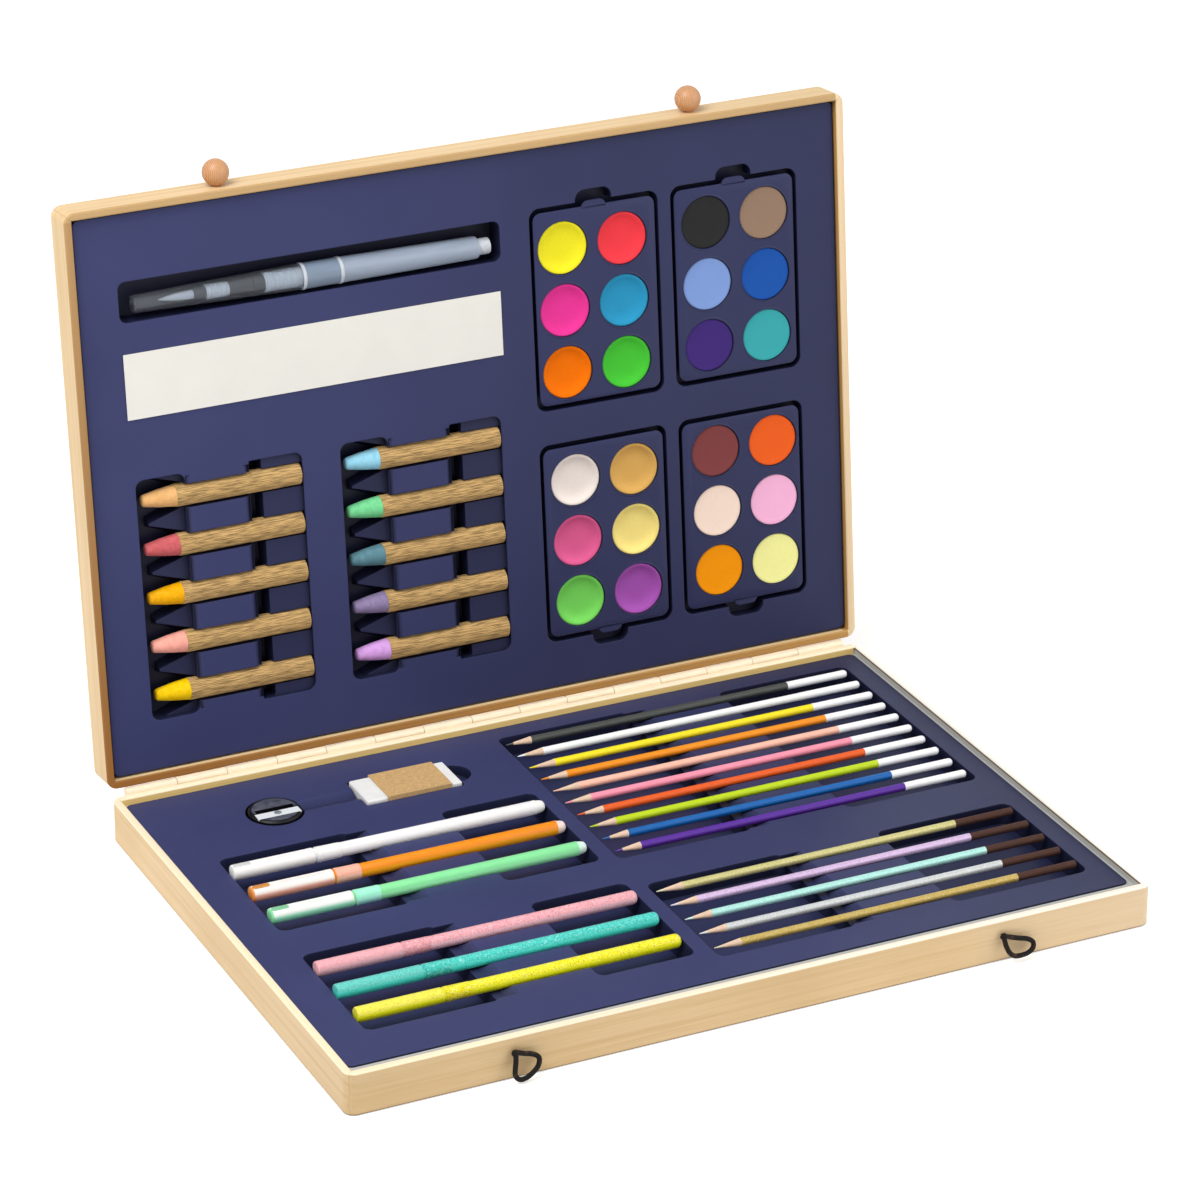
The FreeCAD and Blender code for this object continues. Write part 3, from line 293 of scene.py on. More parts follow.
class ArtCaseStage(bpy.types.PropertyGroup):
    eye: FloatVectorProperty(
        name="Camera", description="Place of the camera", subtype="TRANSLATION", unit="LENGTH", size=3,
        default=(-0.84603, -1.68733, 1.02850))
    turn: FloatVectorProperty(
        name="Camera turn", description="Turn of the camera", subtype="EULER", unit="ROTATION", size=3,
        default=(math.radians(64.6749), math.radians(-0.5594), math.radians(-26.0112)))
    lens: FloatProperty(name="Lens", description="Focal length in millimetres", min=1.0, default=147.43)
    key: FloatProperty(name="Key light", description="Power of the large soft light", unit="POWER", default=33.0)
    fill: FloatProperty(name="Fill light", description="Power of the light from the right", unit="POWER", default=14.0)
    sky: FloatProperty(name="Surroundings", description="Strength of the light from all round", default=0.42)


def measures(settings, *names):
    """Lengths of a settings group, in millimetres."""
    return [getattr(settings, name) / MM for name in names]


# Selecting and shaping
def clear():
    """Nothing selected, in object mode."""
    if bpy.context.object is not None and bpy.context.object.mode != "OBJECT":
        bpy.ops.object.mode_set(mode="OBJECT")
    bpy.ops.object.select_all(action="DESELECT")


def only(piece):
    """This piece selected and active."""
    clear()
    piece.select_set(True)
    bpy.context.view_layer.objects.active = piece


def choose(piece, kind, test):
    """In edit mode, the vertices, edges or faces that pass the test are selected."""
    only(piece)
    bpy.ops.object.mode_set(mode="EDIT")
    bpy.ops.mesh.select_mode(type=kind)
    bpy.ops.mesh.select_all(action="DESELECT")
    mesh = bmesh.from_edit_mesh(piece.data)
    elements = {"VERT": mesh.verts, "EDGE": mesh.edges, "FACE": mesh.faces}[kind]
    for element in elements:
        if test(element):
            element.select_set(True)
    mesh.select_flush_mode()
    bmesh.update_edit_mesh(piece.data)


def bevelled(piece, test, width, segments):
    """Rounds the edges that pass the test; the width is in millimetres."""
    choose(piece, "EDGE", test)
    bpy.ops.mesh.bevel(offset=width * MM, segments=segments, affect="EDGES")
    clear()


def scaled(piece, test, value, centre=(0, 0, 0)):
    """Scales the vertices that pass the test about a point."""
    choose(piece, "VERT", test)
    bpy.ops.transform.resize(value=value, center_override=centre)
    clear()


def outward():
    """In edit mode, turns all faces outwards and leaves it."""
    bpy.ops.mesh.select_all(action="SELECT")
    bpy.ops.mesh.normals_make_consistent(inside=False)
    bpy.ops.object.mode_set(mode="OBJECT")


def rise_of(edge):
    """How far an edge climbs."""
    return abs(edge.verts[0].co.z - edge.verts[1].co.z)


def settle(piece):
    """Object mode, with the piece's place in its mesh."""
    only(piece)
    bpy.ops.object.transform_apply(location=True, rotation=True, scale=True)


def named(name):
    """Names the object that an operator has just added."""
    piece = bpy.context.object
    piece.name = name
    piece.data.name = name
    return piece


def turned(name, outline, sides):
    """Ring drawn out along X through (distance, radius) pairs in millimetres, closed at both ends."""
    clear()
    outline = [(x * MM, radius * MM) for x, radius in outline]
    x, radius = outline[0]
    bpy.ops.mesh.primitive_circle_add(
        vertices=sides, radius=radius, fill_type="NGON", location=(x, 0, 0), rotation=(0, math.pi / 2, 0))
    piece = named(name)
    settle(piece)
    bpy.ops.object.mode_set(mode="EDIT")
    bpy.ops.mesh.select_all(action="SELECT")
    for (x0, r0), (x1, r1) in zip(outline, outline[1:]):
        bpy.ops.mesh.extrude_region_move(TRANSFORM_OT_translate={"value": (x1 - x0, 0, 0)})
        if r1 != r0:
            bpy.ops.transform.resize(value=(1, r1 / r0, r1 / r0), center_override=(x1, 0, 0))
    outward()
    return piece


def arc(start, depth, rim, middle=0.0, steps=8):
    """Rounded end of an outline, from the rim's radius in toward the middle's."""
    turns = [math.radians(90 * step / steps) for step in range(steps)]
    return [(start + depth * math.sin(turn), middle + (rim - middle) * math.cos(turn)) for turn in turns]


def ribs(start, pitch, count, low, high, places):
    """Raised rings of an outline; the places say where each rises, is full, ends and is low again."""
    return [(start + rib * pitch + place, radius)
            for rib in range(count) for place, radius in zip(places, (low, high, high, low))]


def slab(name, x_ends, y_ends, z_ends, corner=0.0, edge=0.0, steps=5):
    """Block between places in millimetres, with round upright corners and soft edges."""
    clear()
    ends = [(low * MM, high * MM) for low, high in (x_ends, y_ends, z_ends)]
    bpy.ops.mesh.primitive_cube_add(
        size=1, location=[(low + high) / 2 for low, high in ends], scale=[high - low for low, high in ends])
    piece = named(name)
    settle(piece)
    half = (ends[2][1] - ends[2][0]) / 2
    if corner:
        bevelled(piece, lambda e: rise_of(e) > half, corner, steps)
    if edge:
        bevelled(piece, lambda e: rise_of(e) < half, edge, 2)
    return piece


def moved(piece, place):
    """Moves a piece by a matrix or a step, and puts that in its mesh."""
    piece.matrix_world = place if isinstance(place, Matrix) else Matrix.Translation(place)
    settle(piece)
    return piece


def copied(piece, name, place):
    """Copy with its own mesh, moved to its place."""
    only(piece)
    bpy.ops.object.duplicate()
    return moved(named(name), place)


def discard(*pieces):
    """Deletes the models that copies were made from."""
    for piece in pieces:
        only(piece)
        bpy.ops.object.delete()


def joined(name, pieces):
    """One piece from several."""
    clear()
    for piece in pieces:
        piece.select_set(True)
    bpy.context.view_layer.objects.active = pieces[0]
    bpy.ops.object.join()
    return named(name)


def cut(piece, tool):
    """Takes the tool's shape out of the piece and deletes the tool."""
    only(piece)
    modifier = piece.modifiers.new("cut", "BOOLEAN")
    modifier.operation = "DIFFERENCE"
    modifier.object = tool
    modifier.solver = "EXACT"
    bpy.ops.object.modifier_apply(modifier="cut")
    discard(tool)


def smooth(piece, degrees=35):
    """Soft shading over edges that turn less than this."""
    only(piece)
    bpy.ops.object.shade_smooth_by_angle(angle=math.radians(degrees))


def dress(piece, *materials):
    """Gives a piece these materials, in this order, with its faces' choice of them kept."""
    chosen = [face.material_index for face in getattr(piece.data, "polygons", ())]
    piece.data.materials.clear()
    for material in materials:
        piece.data.materials.append(material)
    if chosen:
        piece.data.polygons.foreach_set("material_index", chosen)


def region(piece, index, low, high, reach=math.inf):
    """Faces between two distances along X, and in reach of the axis, take the material at this index."""
    for face in piece.data.polygons:
        x, y, z = face.center
        if low * MM < x < high * MM and math.hypot(y, z) < reach * MM:
            face.material_index = index


def stand_in(piece, body, slot, *nodes):
    """The piece rides on its body and replaces its nodes; the slot is not used."""
    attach(piece, body)
    if nodes:
        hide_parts(*nodes)


def axis_start(node):
    """Left end of a node that lies along X, on its axis."""
    low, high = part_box(node)
    return Vector((low[0], (low[1] + high[1]) / 2, (low[2] + high[2]) / 2))


# Finishes
class Finish:
    """A material and its nodes."""

    def __init__(self, name, **sockets):
        self.material = bpy.data.materials.new(name)
        self.material.use_nodes = True
        self.nodes = self.material.node_tree.nodes
        self.links = self.material.node_tree.links
        self.shader = self.nodes["Principled BSDF"]
        self.place = self.add("ShaderNodeTexCoord").outputs["Object"]
        for socket, value in sockets.items():
            self.put(self.shader, socket.replace("_", " "), value)

    def put(self, node, socket, value):
        """Gives a socket its value or its link."""
        target = node.inputs[socket]
        if isinstance(value, bpy.types.NodeSocket):
            self.links.new(value, target)
        else:
            target.default_value = (*value, 1) if target.type == "RGBA" else value

    def add(self, kind, inputs=None, **settings):
        """New node with these settings and inputs."""
        node = self.nodes.new(kind)
        for key, value in settings.items():
            setattr(node, key, value)
        for socket, value in (inputs or {}).items():
            self.put(node, socket, value)
        return node

    def split(self, vector):
        """The three parts of a vector."""
        return self.add("ShaderNodeSeparateXYZ", {"Vector": vector}).outputs

    def spread(self, scale, turn=(0, 0, 0), vector=None):
        """Coordinates turned and then stretched."""
        source = self.place if vector is None else vector
        if any(turn):
            source = self.add("ShaderNodeMapping", {"Vector": source, "Rotation": turn}).outputs[0]
        return self.add("ShaderNodeMapping", {"Vector": source, "Scale": scale}).outputs[0]

    def noise(self, scale, detail=3.0, distortion=0.0, vector=None):
        """Cloudy pattern from 0 to 1."""
        source = self.place if vector is None else vector
        inputs = {"Vector": source, "Scale": scale, "Detail": detail, "Distortion": distortion}
        return self.add("ShaderNodeTexNoise", inputs).outputs["Fac"]

    def streaks(self, scale, detail=3.0, distortion=0.0, turn=(0, 0, 0), vector=None):
        """Cloudy pattern stretched along one way."""
        return self.noise(1.0, detail, distortion, self.spread(scale, turn, vector))

    def ramp(self, value, *stops):
        """Colours or greys at places from 0 to 1."""
        node = self.add("ShaderNodeValToRGB", {"Fac": value})
        elements = node.color_ramp.elements
        while len(elements) < len(stops):
            elements.new(1.0)
        for element, (place, shade_there) in zip(elements, stops):
            element.position = place
            grey = isinstance(shade_there, float)
            element.color = (shade_there, shade_there, shade_there, 1) if grey else (*shade_there, 1)
        return node.outputs["Color"]

    def shades(self, value, body, *steps):
        """The colour made darker or lighter at places from 0 to 1."""
        return self.ramp(value, *((place, shade(body, factor)) for place, factor in steps))

    def sum(self, operation, first, second=0.0):
        """Arithmetic on two values."""
        return self.add("ShaderNodeMath", {0: first, 1: second}, operation=operation).outputs[0]

    def less(self, first, second):
        """The first value less the second."""
        return self.sum("SUBTRACT", first, second)

    def times(self, first, second):
        """Product of two values."""
        return self.sum("MULTIPLY", first, second)

    def larger(self, first, second):
        """The larger of two values."""
        return self.sum("MAXIMUM", first, second)

    def above(self, value, limit):
        """1 where the value is above the limit, and 0 elsewhere."""
        return self.sum("GREATER_THAN", value, limit)

    def between(self, value, low, high):
        """0 at the low value and 1 at the high one."""
        return self.add("ShaderNodeMapRange", {"Value": value, "From Min": low, "From Max": high}).outputs[0]

    def mix(self, share, first, second):
        """The first colour, with a share of the second."""
        node = self.add("ShaderNodeMix", data_type="RGBA")
        for index, value in ((0, share), (6, first), (7, second)):
            self.put(node, index, value)
        return node.outputs[2]

    def local(self, lid):
        """Coordinates of the base, or those of the lid as it lies flat."""
        if not lid:
            return self.place
        back = tuple(LID_PLACE.inverted().translation)
        return self.add("ShaderNodeMapping", {
            "Vector": self.place, "Rotation": (-LID_TILT, 0, 0), "Location": back}).outputs[0]

    def steepness(self, lid):
        """0 where a face looks straight up out of its tray, and 1 where it stands upright."""
        normal = self.add("ShaderNodeTexCoord").outputs["Normal"]
        if lid:
            inputs = {"Vector": normal, "Rotation": (-LID_TILT, 0, 0)}
            normal = self.add("ShaderNodeMapping", inputs, vector_type="VECTOR").outputs[0]
        return self.less(1.0, self.sum("ABSOLUTE", self.split(normal)[2]))

    def underside(self):
        """1 low on a pen in its cradle and 0 along its top, for the painted light on its underside."""
        height = self.split(self.place)[2]
        rise = self.between(height, BASE_SURFACE - 0.5 * MM, BASE_SURFACE + 2.5 * MM)
        return self.ramp(rise, (0.3, 1.0), (0.75, 0.0))

    def tint(self, tone_here):
        """Colour of the surface."""
        self.put(self.shader, "Base Color", tone_here)

    def rough(self, value, low, high):
        """Roughness between two values."""
        node = self.add("ShaderNodeMapRange", {"Value": value, "To Min": low, "To Max": high})
        self.put(self.shader, "Roughness", node.outputs[0])

    def relief(self, height, depth, strength=1.0, edge=None):
        """Bump of a depth in millimetres, over softened edges where edge gives their radius."""
        inputs = {"Height": height, "Distance": depth * MM, "Strength": strength}
        if edge is not None:
            inputs["Normal"] = self.add("ShaderNodeBevel", {"Radius": edge * MM}, samples=6).outputs[0]
        self.put(self.shader, "Normal", self.add("ShaderNodeBump", inputs).outputs[0])


def shade(body, factor):
    """The colour made darker or lighter."""
    return tuple(min(1.0, channel * factor) for channel in body)


def toward(first, second, share):
    """Colour part of the way from the first to the second."""
    return tuple(a + (b - a) * share for a, b in zip(first, second))


def soft(weight, reach):
    """Sockets of a plastic that light enters, as far as this many millimetres."""
    return {"Subsurface_Weight": weight, "Subsurface_Radius": WHITE, "Subsurface_Scale": reach * MM}


def grained(name, body, steps, run, detail, depth, rough=None, distortion=0.0, strength=1.0, edge=None, **sockets):
    """Finish whose one grain gives its tint, its relief and its roughness."""
    finish = Finish(name, **sockets)
    grain = finish.streaks(run, detail, distortion)
    finish.tint(finish.shades(grain, body, *steps))
    if rough:
        finish.rough(grain, *rough)
    finish.relief(grain, depth, strength, edge)
    return finish.material


def metal(name, body, rough, brush, metallic):
    """Rolled metal with fine drawn lines."""
    return grained(name, body, ((0.3, 0.88), (0.7, 1)), tuple(900 * share for share in brush), 3.0, 0.01, rough,
                   strength=0.5, edge=0.1, Metallic=metallic)


def bare_wood(name, body, dark=0.8, scale=1.0):
    """Cut wood with short streaks along X."""
    return grained(name, body, ((0.3, dark), (0.62, 1)), (300 * scale, 3200 * scale, 3200 * scale), 4.0, 0.03,
                   (0.75, 0.6), 0.4, Specular_IOR_Level=0.25)


def lead(name, body):
    """Waxy pencil core."""
    return grained(name, body, ((0.3, 0.85), (0.7, 1)), (800, 4000, 4000), 3.0, 0.02, (0.4, 0.6))


def lacquer(name, body):
    """Sprayed coat with a faint orange-peel surface."""
    return grained(name, body, ((0.3, 0.95), (0.7, 1.03)), (500, 1400, 1400), 2.0, 0.01, (0.42, 0.52), strength=0.5,
                   Coat_Weight=0.1, Coat_Roughness=0.3, Specular_IOR_Level=0.3, **soft(0.3, 2))


def pearl_lacquer(name, body):
    """The same coat with a metallic glimmer."""
    finish = Finish(name, Coat_Weight=0.1, Coat_Roughness=0.3, Metallic=0.2, Specular_IOR_Level=0.3, **soft(0.3, 2))
    cells = finish.add("ShaderNodeTexVoronoi", {"Vector": finish.place, "Scale": 5200.0}).outputs["Color"]
    grey = finish.add("ShaderNodeSeparateColor", {"Color": cells}).outputs[0]
    finish.tint(finish.ramp(grey, (0.0, shade(body, 0.8)), (0.75, body), (1.0, toward(body, WHITE, 0.4))))
    finish.rough(grey, 0.25, 0.5)
    finish.relief(finish.streaks((500, 1400, 1400), 2.0), 0.01, 0.5)
    return finish.material


def case_wood(name, settings, rims, inner, lid):
    """Grain along every wall, a fine seam at the mitres, and painted light and shade on the rims, the inner faces and
    the base's outer walls.
    """
    wood = settings.wood
    grain = settings.grain
    line = settings.base_line
    finish = Finish(name, Specular_IOR_Level=0.3)
    place = finish.local(lid)
    x, y, z = finish.split(place)
    left, low, top = (0.0, 0.0, 0.0) if lid else (-CASE_WIDTH / 2, -CASE_DEPTH / 2, BASE_HEIGHT)
    across = finish.sum("ABSOLUTE", finish.less(x, left + CASE_WIDTH / 2))
    along = finish.sum("ABSOLUTE", finish.less(y, low + CASE_DEPTH / 2))
    lead_over = finish.less(finish.less(across, along), (CASE_WIDTH - CASE_DEPTH) / 2)
    swapped = finish.add("ShaderNodeCombineXYZ", {"X": y, "Y": x, "Z": z}).outputs[0]
    inputs = {0: finish.above(lead_over, 0.0), 4: place, 5: swapped}
    lengthwise = finish.add("ShaderNodeMix", inputs, data_type="VECTOR").outputs[1]
    streaks = finish.streaks((6, 420, 420), 5.0, 0.6, vector=lengthwise)
    pores = finish.streaks((60, 1500, 1500), 2.0, vector=lengthwise)
    body = finish.ramp(streaks, (0.3, toward(wood, grain, 0.8)), (0.55, wood), (0.78, shade(wood, 1.04)))
    body = finish.mix(finish.ramp(finish.noise(14.0, 2.0), (0.35, 0.0), (0.8, 0.6)), body, grain)
    body = finish.mix(finish.ramp(pores, (0.3, 0.22), (0.42, 0.0)), body, shade(grain, 0.78))
    rightward = finish.between(x, left, left + CASE_WIDTH)
    if lid:
        # Painted shade: the lid's inner faces past its lower wall go near-black; at the far right they take the lower
        # rim's tone.
        inside_lighting_and_card = finish.mix(finish.above(y, WALL_SKIN * 2), wood, inner)
        inside_lighting_and_card = finish.mix(finish.above(x, CASE_WIDTH - WALL_SKIN * 2), inside_lighting_and_card, rims[1])
    else:
        # Painted shadow: a dark line along the upper edge of the right wall's inner face.
        lip = finish.between(z, top - LIP_SHADOW_BAND[0], top - LIP_SHADOW_BAND[1])
        on_right = finish.above(x, CASE_WIDTH / 2 - WALL_SKIN * 1.5)
        # Painted light and shade: the base's inner faces take their own tone; the right wall's takes the card's grey
        # under the shadow line.
        inside_lighting_and_card = finish.shades(streaks, inner, (0.3, 0.85), (0.6, 1))
        inside_lighting_and_card = finish.mix(on_right, inside_lighting_and_card, finish.mix(lip, settings.card, line))
        # Painted light: lighter toward the base's right end.
        body = finish.mix(finish.ramp(rightward, (0.7, 0.0), (1.0, 0.4)), body, toward(wood, WHITE, 0.35))
        # Painted shade: darker toward the front, less so toward the right.
        nearer = finish.between(y, CASE_DEPTH / 2, -CASE_DEPTH / 2)
        shaded = finish.times(nearer, finish.less(0.26, finish.times(rightward, 0.2)))
        body = finish.mix(shaded, body, shade(wood, 0.3))
        # Painted shadow: a dark line along the foot.
        foot = finish.between(z, *FOOT_SHADOW_BAND)
        body = finish.mix(finish.times(foot, 0.75), body, shade(line, 0.6))
    past_x = finish.less(across, CASE_WIDTH / 2 - WALL_SKIN)
    past_y = finish.less(along, CASE_DEPTH / 2 - WALL_SKIN)
    inside = finish.sum("LESS_THAN", finish.larger(past_x, past_y), 0.0)
    body = finish.mix(inside, body, inside_lighting_and_card)
    # Painted light and shade: lit and shaded rim tones, blended left to right, toward the far wall and upward, with
    # their own tone on the right wall.
    first, second, upper, right = (finish.shades(streaks, rim, (0.3, 0.9), (0.6, 1)) for rim in rims)
    far = finish.above(y, low + CASE_DEPTH - WALL_SKIN * 1.3)
    upward = finish.times(finish.between(y, low, low + CASE_DEPTH), 0.7)
    painted_rim_lighting = finish.mix(finish.larger(far, upward), finish.mix(rightward, first, second), upper)
    at_right = finish.above(x, left + CASE_WIDTH - WALL_SKIN * 1.3)
    edge = finish.between(z, top - RIM_LIGHT_BAND[0], top - RIM_LIGHT_BAND[1])
    body = finish.mix(edge, body, finish.mix(at_right, painted_rim_lighting, right))
    seam = finish.sum("LESS_THAN", finish.sum("ABSOLUTE", lead_over), SEAM)
    finish.tint(finish.mix(finish.times(seam, 0.4), body, shade(grain, 0.45)))
    finish.rough(streaks, 0.5, 0.38)
    finish.relief(pores, 0.04, 0.5, 0.5)
    return finish.material


def panel_board(name, wood, grain):
    """Thin board with long grain."""
    finish = Finish(name)
    streaks = finish.streaks((7, 120, 120), 5.0, 0.5)
    finish.tint(finish.ramp(streaks, (0.3, shade(grain, 0.92)), (0.7, wood)))
    finish.rough(streaks, 0.6, 0.48)
    finish.relief(streaks, 0.05)
    return finish.material


def formed_sheet(name, body, lid=False, edge_shadow=False):
    """Satin plastic sheet with a fine leathery skin, with painted shade down the walls and floors of its wells, on
    upright faces, in creases and toward its right side, and where asked a painted shadow line along its border.
    """
    finish = Finish(name, Specular_IOR_Level=0.18)
    x, y, z = finish.split(finish.local(lid))
    top = LID_SURFACE if lid else BASE_SURFACE
    face = finish.shades(finish.noise(22.0), body, (0.3, 0.95), (0.7, 1.05))
    rightward = finish.between(finish.split(finish.place)[0], -CASE_WIDTH / 2, CASE_WIDTH / 2)
    # Painted shade: darker toward the right side.
    face = finish.mix(finish.ramp(rightward, *(LID_RIGHT_SHADE if lid else BASE_RIGHT_SHADE)), face, shade(body, 0.1))
    # Painted shade: darker with depth down the wells.
    rise = finish.between(z, top - WELL_DEPTH, top)
    well_shade = finish.ramp(rise, *zip(WELL_STEPS, LID_WELL_SHADE if lid else BASE_WELL_SHADE), (0.99, 0.0))
    # Painted shade on upright faces.
    wall = finish.ramp(finish.steepness(lid), (0.12, 0.0), (0.6, 0.6))
    tinted = finish.mix(wall, finish.mix(well_shade, face, shade(body, 0.08)), shade(body, 0.12))
    # Painted shade in creases and where other pieces lie close.
    crease_shade = finish.add("ShaderNodeAmbientOcclusion", {"Distance": CREASE_SHADE_REACH}, samples=6).outputs["AO"]
    tinted = finish.mix(finish.ramp(crease_shade, (0.35, 0.85), (0.8, 0.0)), tinted, shade(body, 0.15))
    # Painted shadow: near-black along the tray's left and upper borders.
    if edge_shadow:
        past = finish.larger(finish.less(TRAY_SHADOW_LINE, x), finish.less(y, CASE_DEPTH - TRAY_SHADOW_LINE))
        tinted = finish.mix(finish.between(past, -0.1 * MM, 0.1 * MM), tinted, shade(body, 0.05))
    finish.tint(tinted)
    finish.rough(finish.noise(160.0), 0.36, 0.46)
    finish.relief(finish.noise(2600.0, 2.0), 0.01, 0.4, 0.6)
    return finish.material


def label_card(name, body):
    """Off-white card with a fine woven face."""
    finish = Finish(name, Specular_IOR_Level=0.25, Roughness=0.85)
    inputs = {"Vector": finish.place, "Scale": 520.0, "Distortion": 1.6, "Detail": 2.0}
    up, over = (finish.add("ShaderNodeTexWave", inputs, bands_direction=way).outputs["Fac"] for way in "XZ")
    weave = finish.times(up, over)
    tinted = finish.shades(finish.noise(60.0, 4.0), body, (0.35, 0.965), (0.7, 1))
    finish.tint(finish.mix(finish.ramp(weave, (0.0, 0.3), (0.5, 0.0)), tinted, shade(body, 0.86)))
    finish.relief(weave, 0.06, 0.7)
    return finish.material


def pen_plastic(name, body, gloss=0.42, low=None, glow=6.0):
    """Moulded pen plastic; low is the colour of its underside, painted there as light and shade, and glow how far
    light travels inside.
    """
    finish = Finish(name, Coat_Weight=0.06, Coat_Roughness=0.3, Specular_IOR_Level=0.3, **soft(0.6, glow))
    cloud = finish.streaks((90, 500, 500), 2.0)
    tinted = finish.shades(cloud, body, (0.3, 0.97), (0.7, 1.02))
    finish.tint(tinted if low is None else finish.mix(finish.underside(), tinted, low))
    finish.rough(cloud, gloss, gloss + 0.08)
    finish.relief(finish.noise(1800.0, 2.0), 0.01, 0.4)
    return finish.material


def glitter(name, body, coarse, pale=0.3, low=None, glow=5.0):
    """Gel full of small flakes that catch the light at their own angles; low is a lighter tone painted on its
    underside as painted light.
    """
    finish = Finish(name, Coat_Weight=0.1, Coat_Roughness=0.2, Specular_IOR_Level=0.3, **soft(0.5, glow))
    cells = finish.add("ShaderNodeTexVoronoi", {"Vector": finish.place, "Scale": coarse}).outputs["Color"]
    parts = finish.add("ShaderNodeSeparateColor", {"Color": cells}).outputs
    tinted = finish.ramp(parts[0], (0.0, shade(body, 0.7)), (0.3, shade(body, 0.94)), (0.75, body),
                         (1.0, toward(body, WHITE, pale)))
    finish.tint(tinted if low is None else finish.mix(finish.underside(), tinted, low))
    finish.put(finish.shader, "Metallic", finish.ramp(parts[1], (0.7, 0.0), (0.95, 0.25)))
    finish.rough(parts[2], 0.18, 0.5)
    finish.relief(parts[0], 0.12, 0.8)
    return finish.material


def wax(name, body):
    """Pressed wax with soft scuffs."""
    finish = Finish(name, Subsurface_Weight=0.12, Specular_IOR_Level=0.08, Subsurface_Scale=3 * MM)
    scuff = finish.noise(380.0, 4.0, 0.8)
    bloom = finish.ramp(finish.noise(120.0), (0.5, 0.0), (0.8, 0.15))
    tinted = finish.ramp(scuff, (0.3, shade(body, 0.86)), (0.55, body), (0.8, toward(body, WHITE, 0.04)))
    finish.tint(finish.mix(bloom, tinted, toward(body, WHITE, 0.08)))
    finish.rough(scuff, 0.42, 0.62)
    finish.relief(scuff, 0.08, 0.7)
    return finish.material


def kraft(name, body):
    """Brown paper with straight fibres and dark specks."""
    finish = Finish(name, Specular_IOR_Level=0.2, Roughness=0.82)
    fibres = finish.streaks((150, 2300, 2300))
    specks = finish.ramp(finish.noise(1500.0, 2.0), (0.28, 0.55), (0.36, 0.0))
    tinted = finish.shades(fibres, body, (0.38, 0.55), (0.5, 1), (0.62, 1.35))
    finish.tint(finish.mix(specks, tinted, shade(body, 0.45)))
    finish.relief(fibres, 0.12, 0.9)
    return finish.material


def hatched_card(name, body):
    """Kraft card with fine crossing lines."""
    finish = Finish(name, Specular_IOR_Level=0.2, Roughness=0.85)
    lines, cross = (
        finish.streaks((420, 3000, 3000), 3.0, 0.6, (0, 0, math.radians(degrees))) for degrees in (35, -40))
    both = finish.times(lines, cross)
    finish.tint(finish.shades(both, body, (0.14, 0.8), (0.26, 1), (0.38, 1.3)))
    finish.relief(both, 0.08, 0.8)
    return finish.material


def paint_cake(name, body, pearl):
    """Pressed powder paint, with a satin glimmer on the pearly ones."""
    finish = Finish(name, Specular_IOR_Level=0.1, Metallic=0.1 if pearl else 0.0)
    powder = finish.noise(2200.0, 4.0)
    cloud = finish.noise(180.0, 4.0)
    tinted = finish.shades(powder, body, (0.25, 0.92), (0.6, 1), (0.85, 1.08))
    finish.tint(finish.mix(finish.ramp(cloud, (0.45, 0.0), (0.8, 0.2)), tinted, shade(body, 0.86)))
    finish.rough(cloud, *((0.42, 0.6) if pearl else (0.68, 0.85)))
    finish.relief(powder, 0.04, 0.6)
    return finish.material


def frosted(name, body):
    """Frosted plastic that lets some light through."""
    finish = Finish(name, Transmission_Weight=0.2, IOR=1.4, Coat_Weight=0.15, Coat_Roughness=0.2, **soft(0.3, 5))
    cloud = finish.streaks((60, 300, 300))
    finish.tint(finish.shades(cloud, body, (0.3, 0.92), (0.7, 1.06)))
    finish.rough(cloud, 0.3, 0.42)
    finish.relief(finish.noise(2400.0, 2.0), 0.01, 0.5)
    return finish.material


def elastic(name, body):
    """Braided elastic with worn, lighter threads."""
    finish = Finish(name, Specular_IOR_Level=0.15)
    threads = finish.streaks((2600, 2600, 2600), 3.0, 0.8)
    wear = finish.ramp(finish.noise(420.0), (0.55, 0.0), (0.72, 0.6))
    finish.tint(finish.mix(wear, finish.shades(threads, body, (0.35, 0.6), (0.7, 1.6)), tone(92, 66, 50)))
    finish.rough(threads, 0.5, 0.75)
    finish.relief(threads, 0.2, 0.8)
    return finish.material


def rubber(name, body):
    """White eraser with faint smudges."""
    finish = Finish(name, Subsurface_Weight=0.1, Specular_IOR_Level=0.3, Subsurface_Scale=2 * MM)
    grain = finish.noise(2400.0)
    finish.tint(finish.shades(finish.noise(180.0, 4.0), body, (0.3, 0.94), (0.6, 1)))
    finish.rough(grain, 0.6, 0.75)
    finish.relief(grain, 0.02, 0.6, 0.5)
    return finish.material


def dark_plastic(name, body, ring, middle, radius):
    """Textured sharpener body, dark round its edge, with painted shade on its sides and in its slots."""
    finish = Finish(name, Specular_IOR_Level=0.2)
    out = finish.add("ShaderNodeVectorMath", {0: finish.place, 1: tuple(middle)}, operation="SUBTRACT").outputs[0]
    flat = finish.add("ShaderNodeVectorMath", {0: out, 1: (1, 1, 0)}, operation="MULTIPLY").outputs[0]
    reach = finish.add("ShaderNodeVectorMath", {0: flat}, operation="LENGTH").outputs["Value"]
    border = finish.between(reach, radius - RING_BAND[0], radius - RING_BAND[1])
    # Painted shade on the sides and in the slots.
    side_shade = finish.ramp(finish.steepness(False), (0.05, 0.0), (0.3, 1.0))
    cloud = finish.noise(240.0)
    face = finish.ramp(cloud, (0.35, shade(body, 0.85)), (0.7, toward(body, WHITE, 0.06)))
    finish.tint(finish.mix(finish.larger(side_shade, border), face, ring))
    finish.rough(cloud, 0.32, 0.5)
    finish.relief(finish.noise(2600.0), 0.03, 0.6, 0.3)
    return finish.material


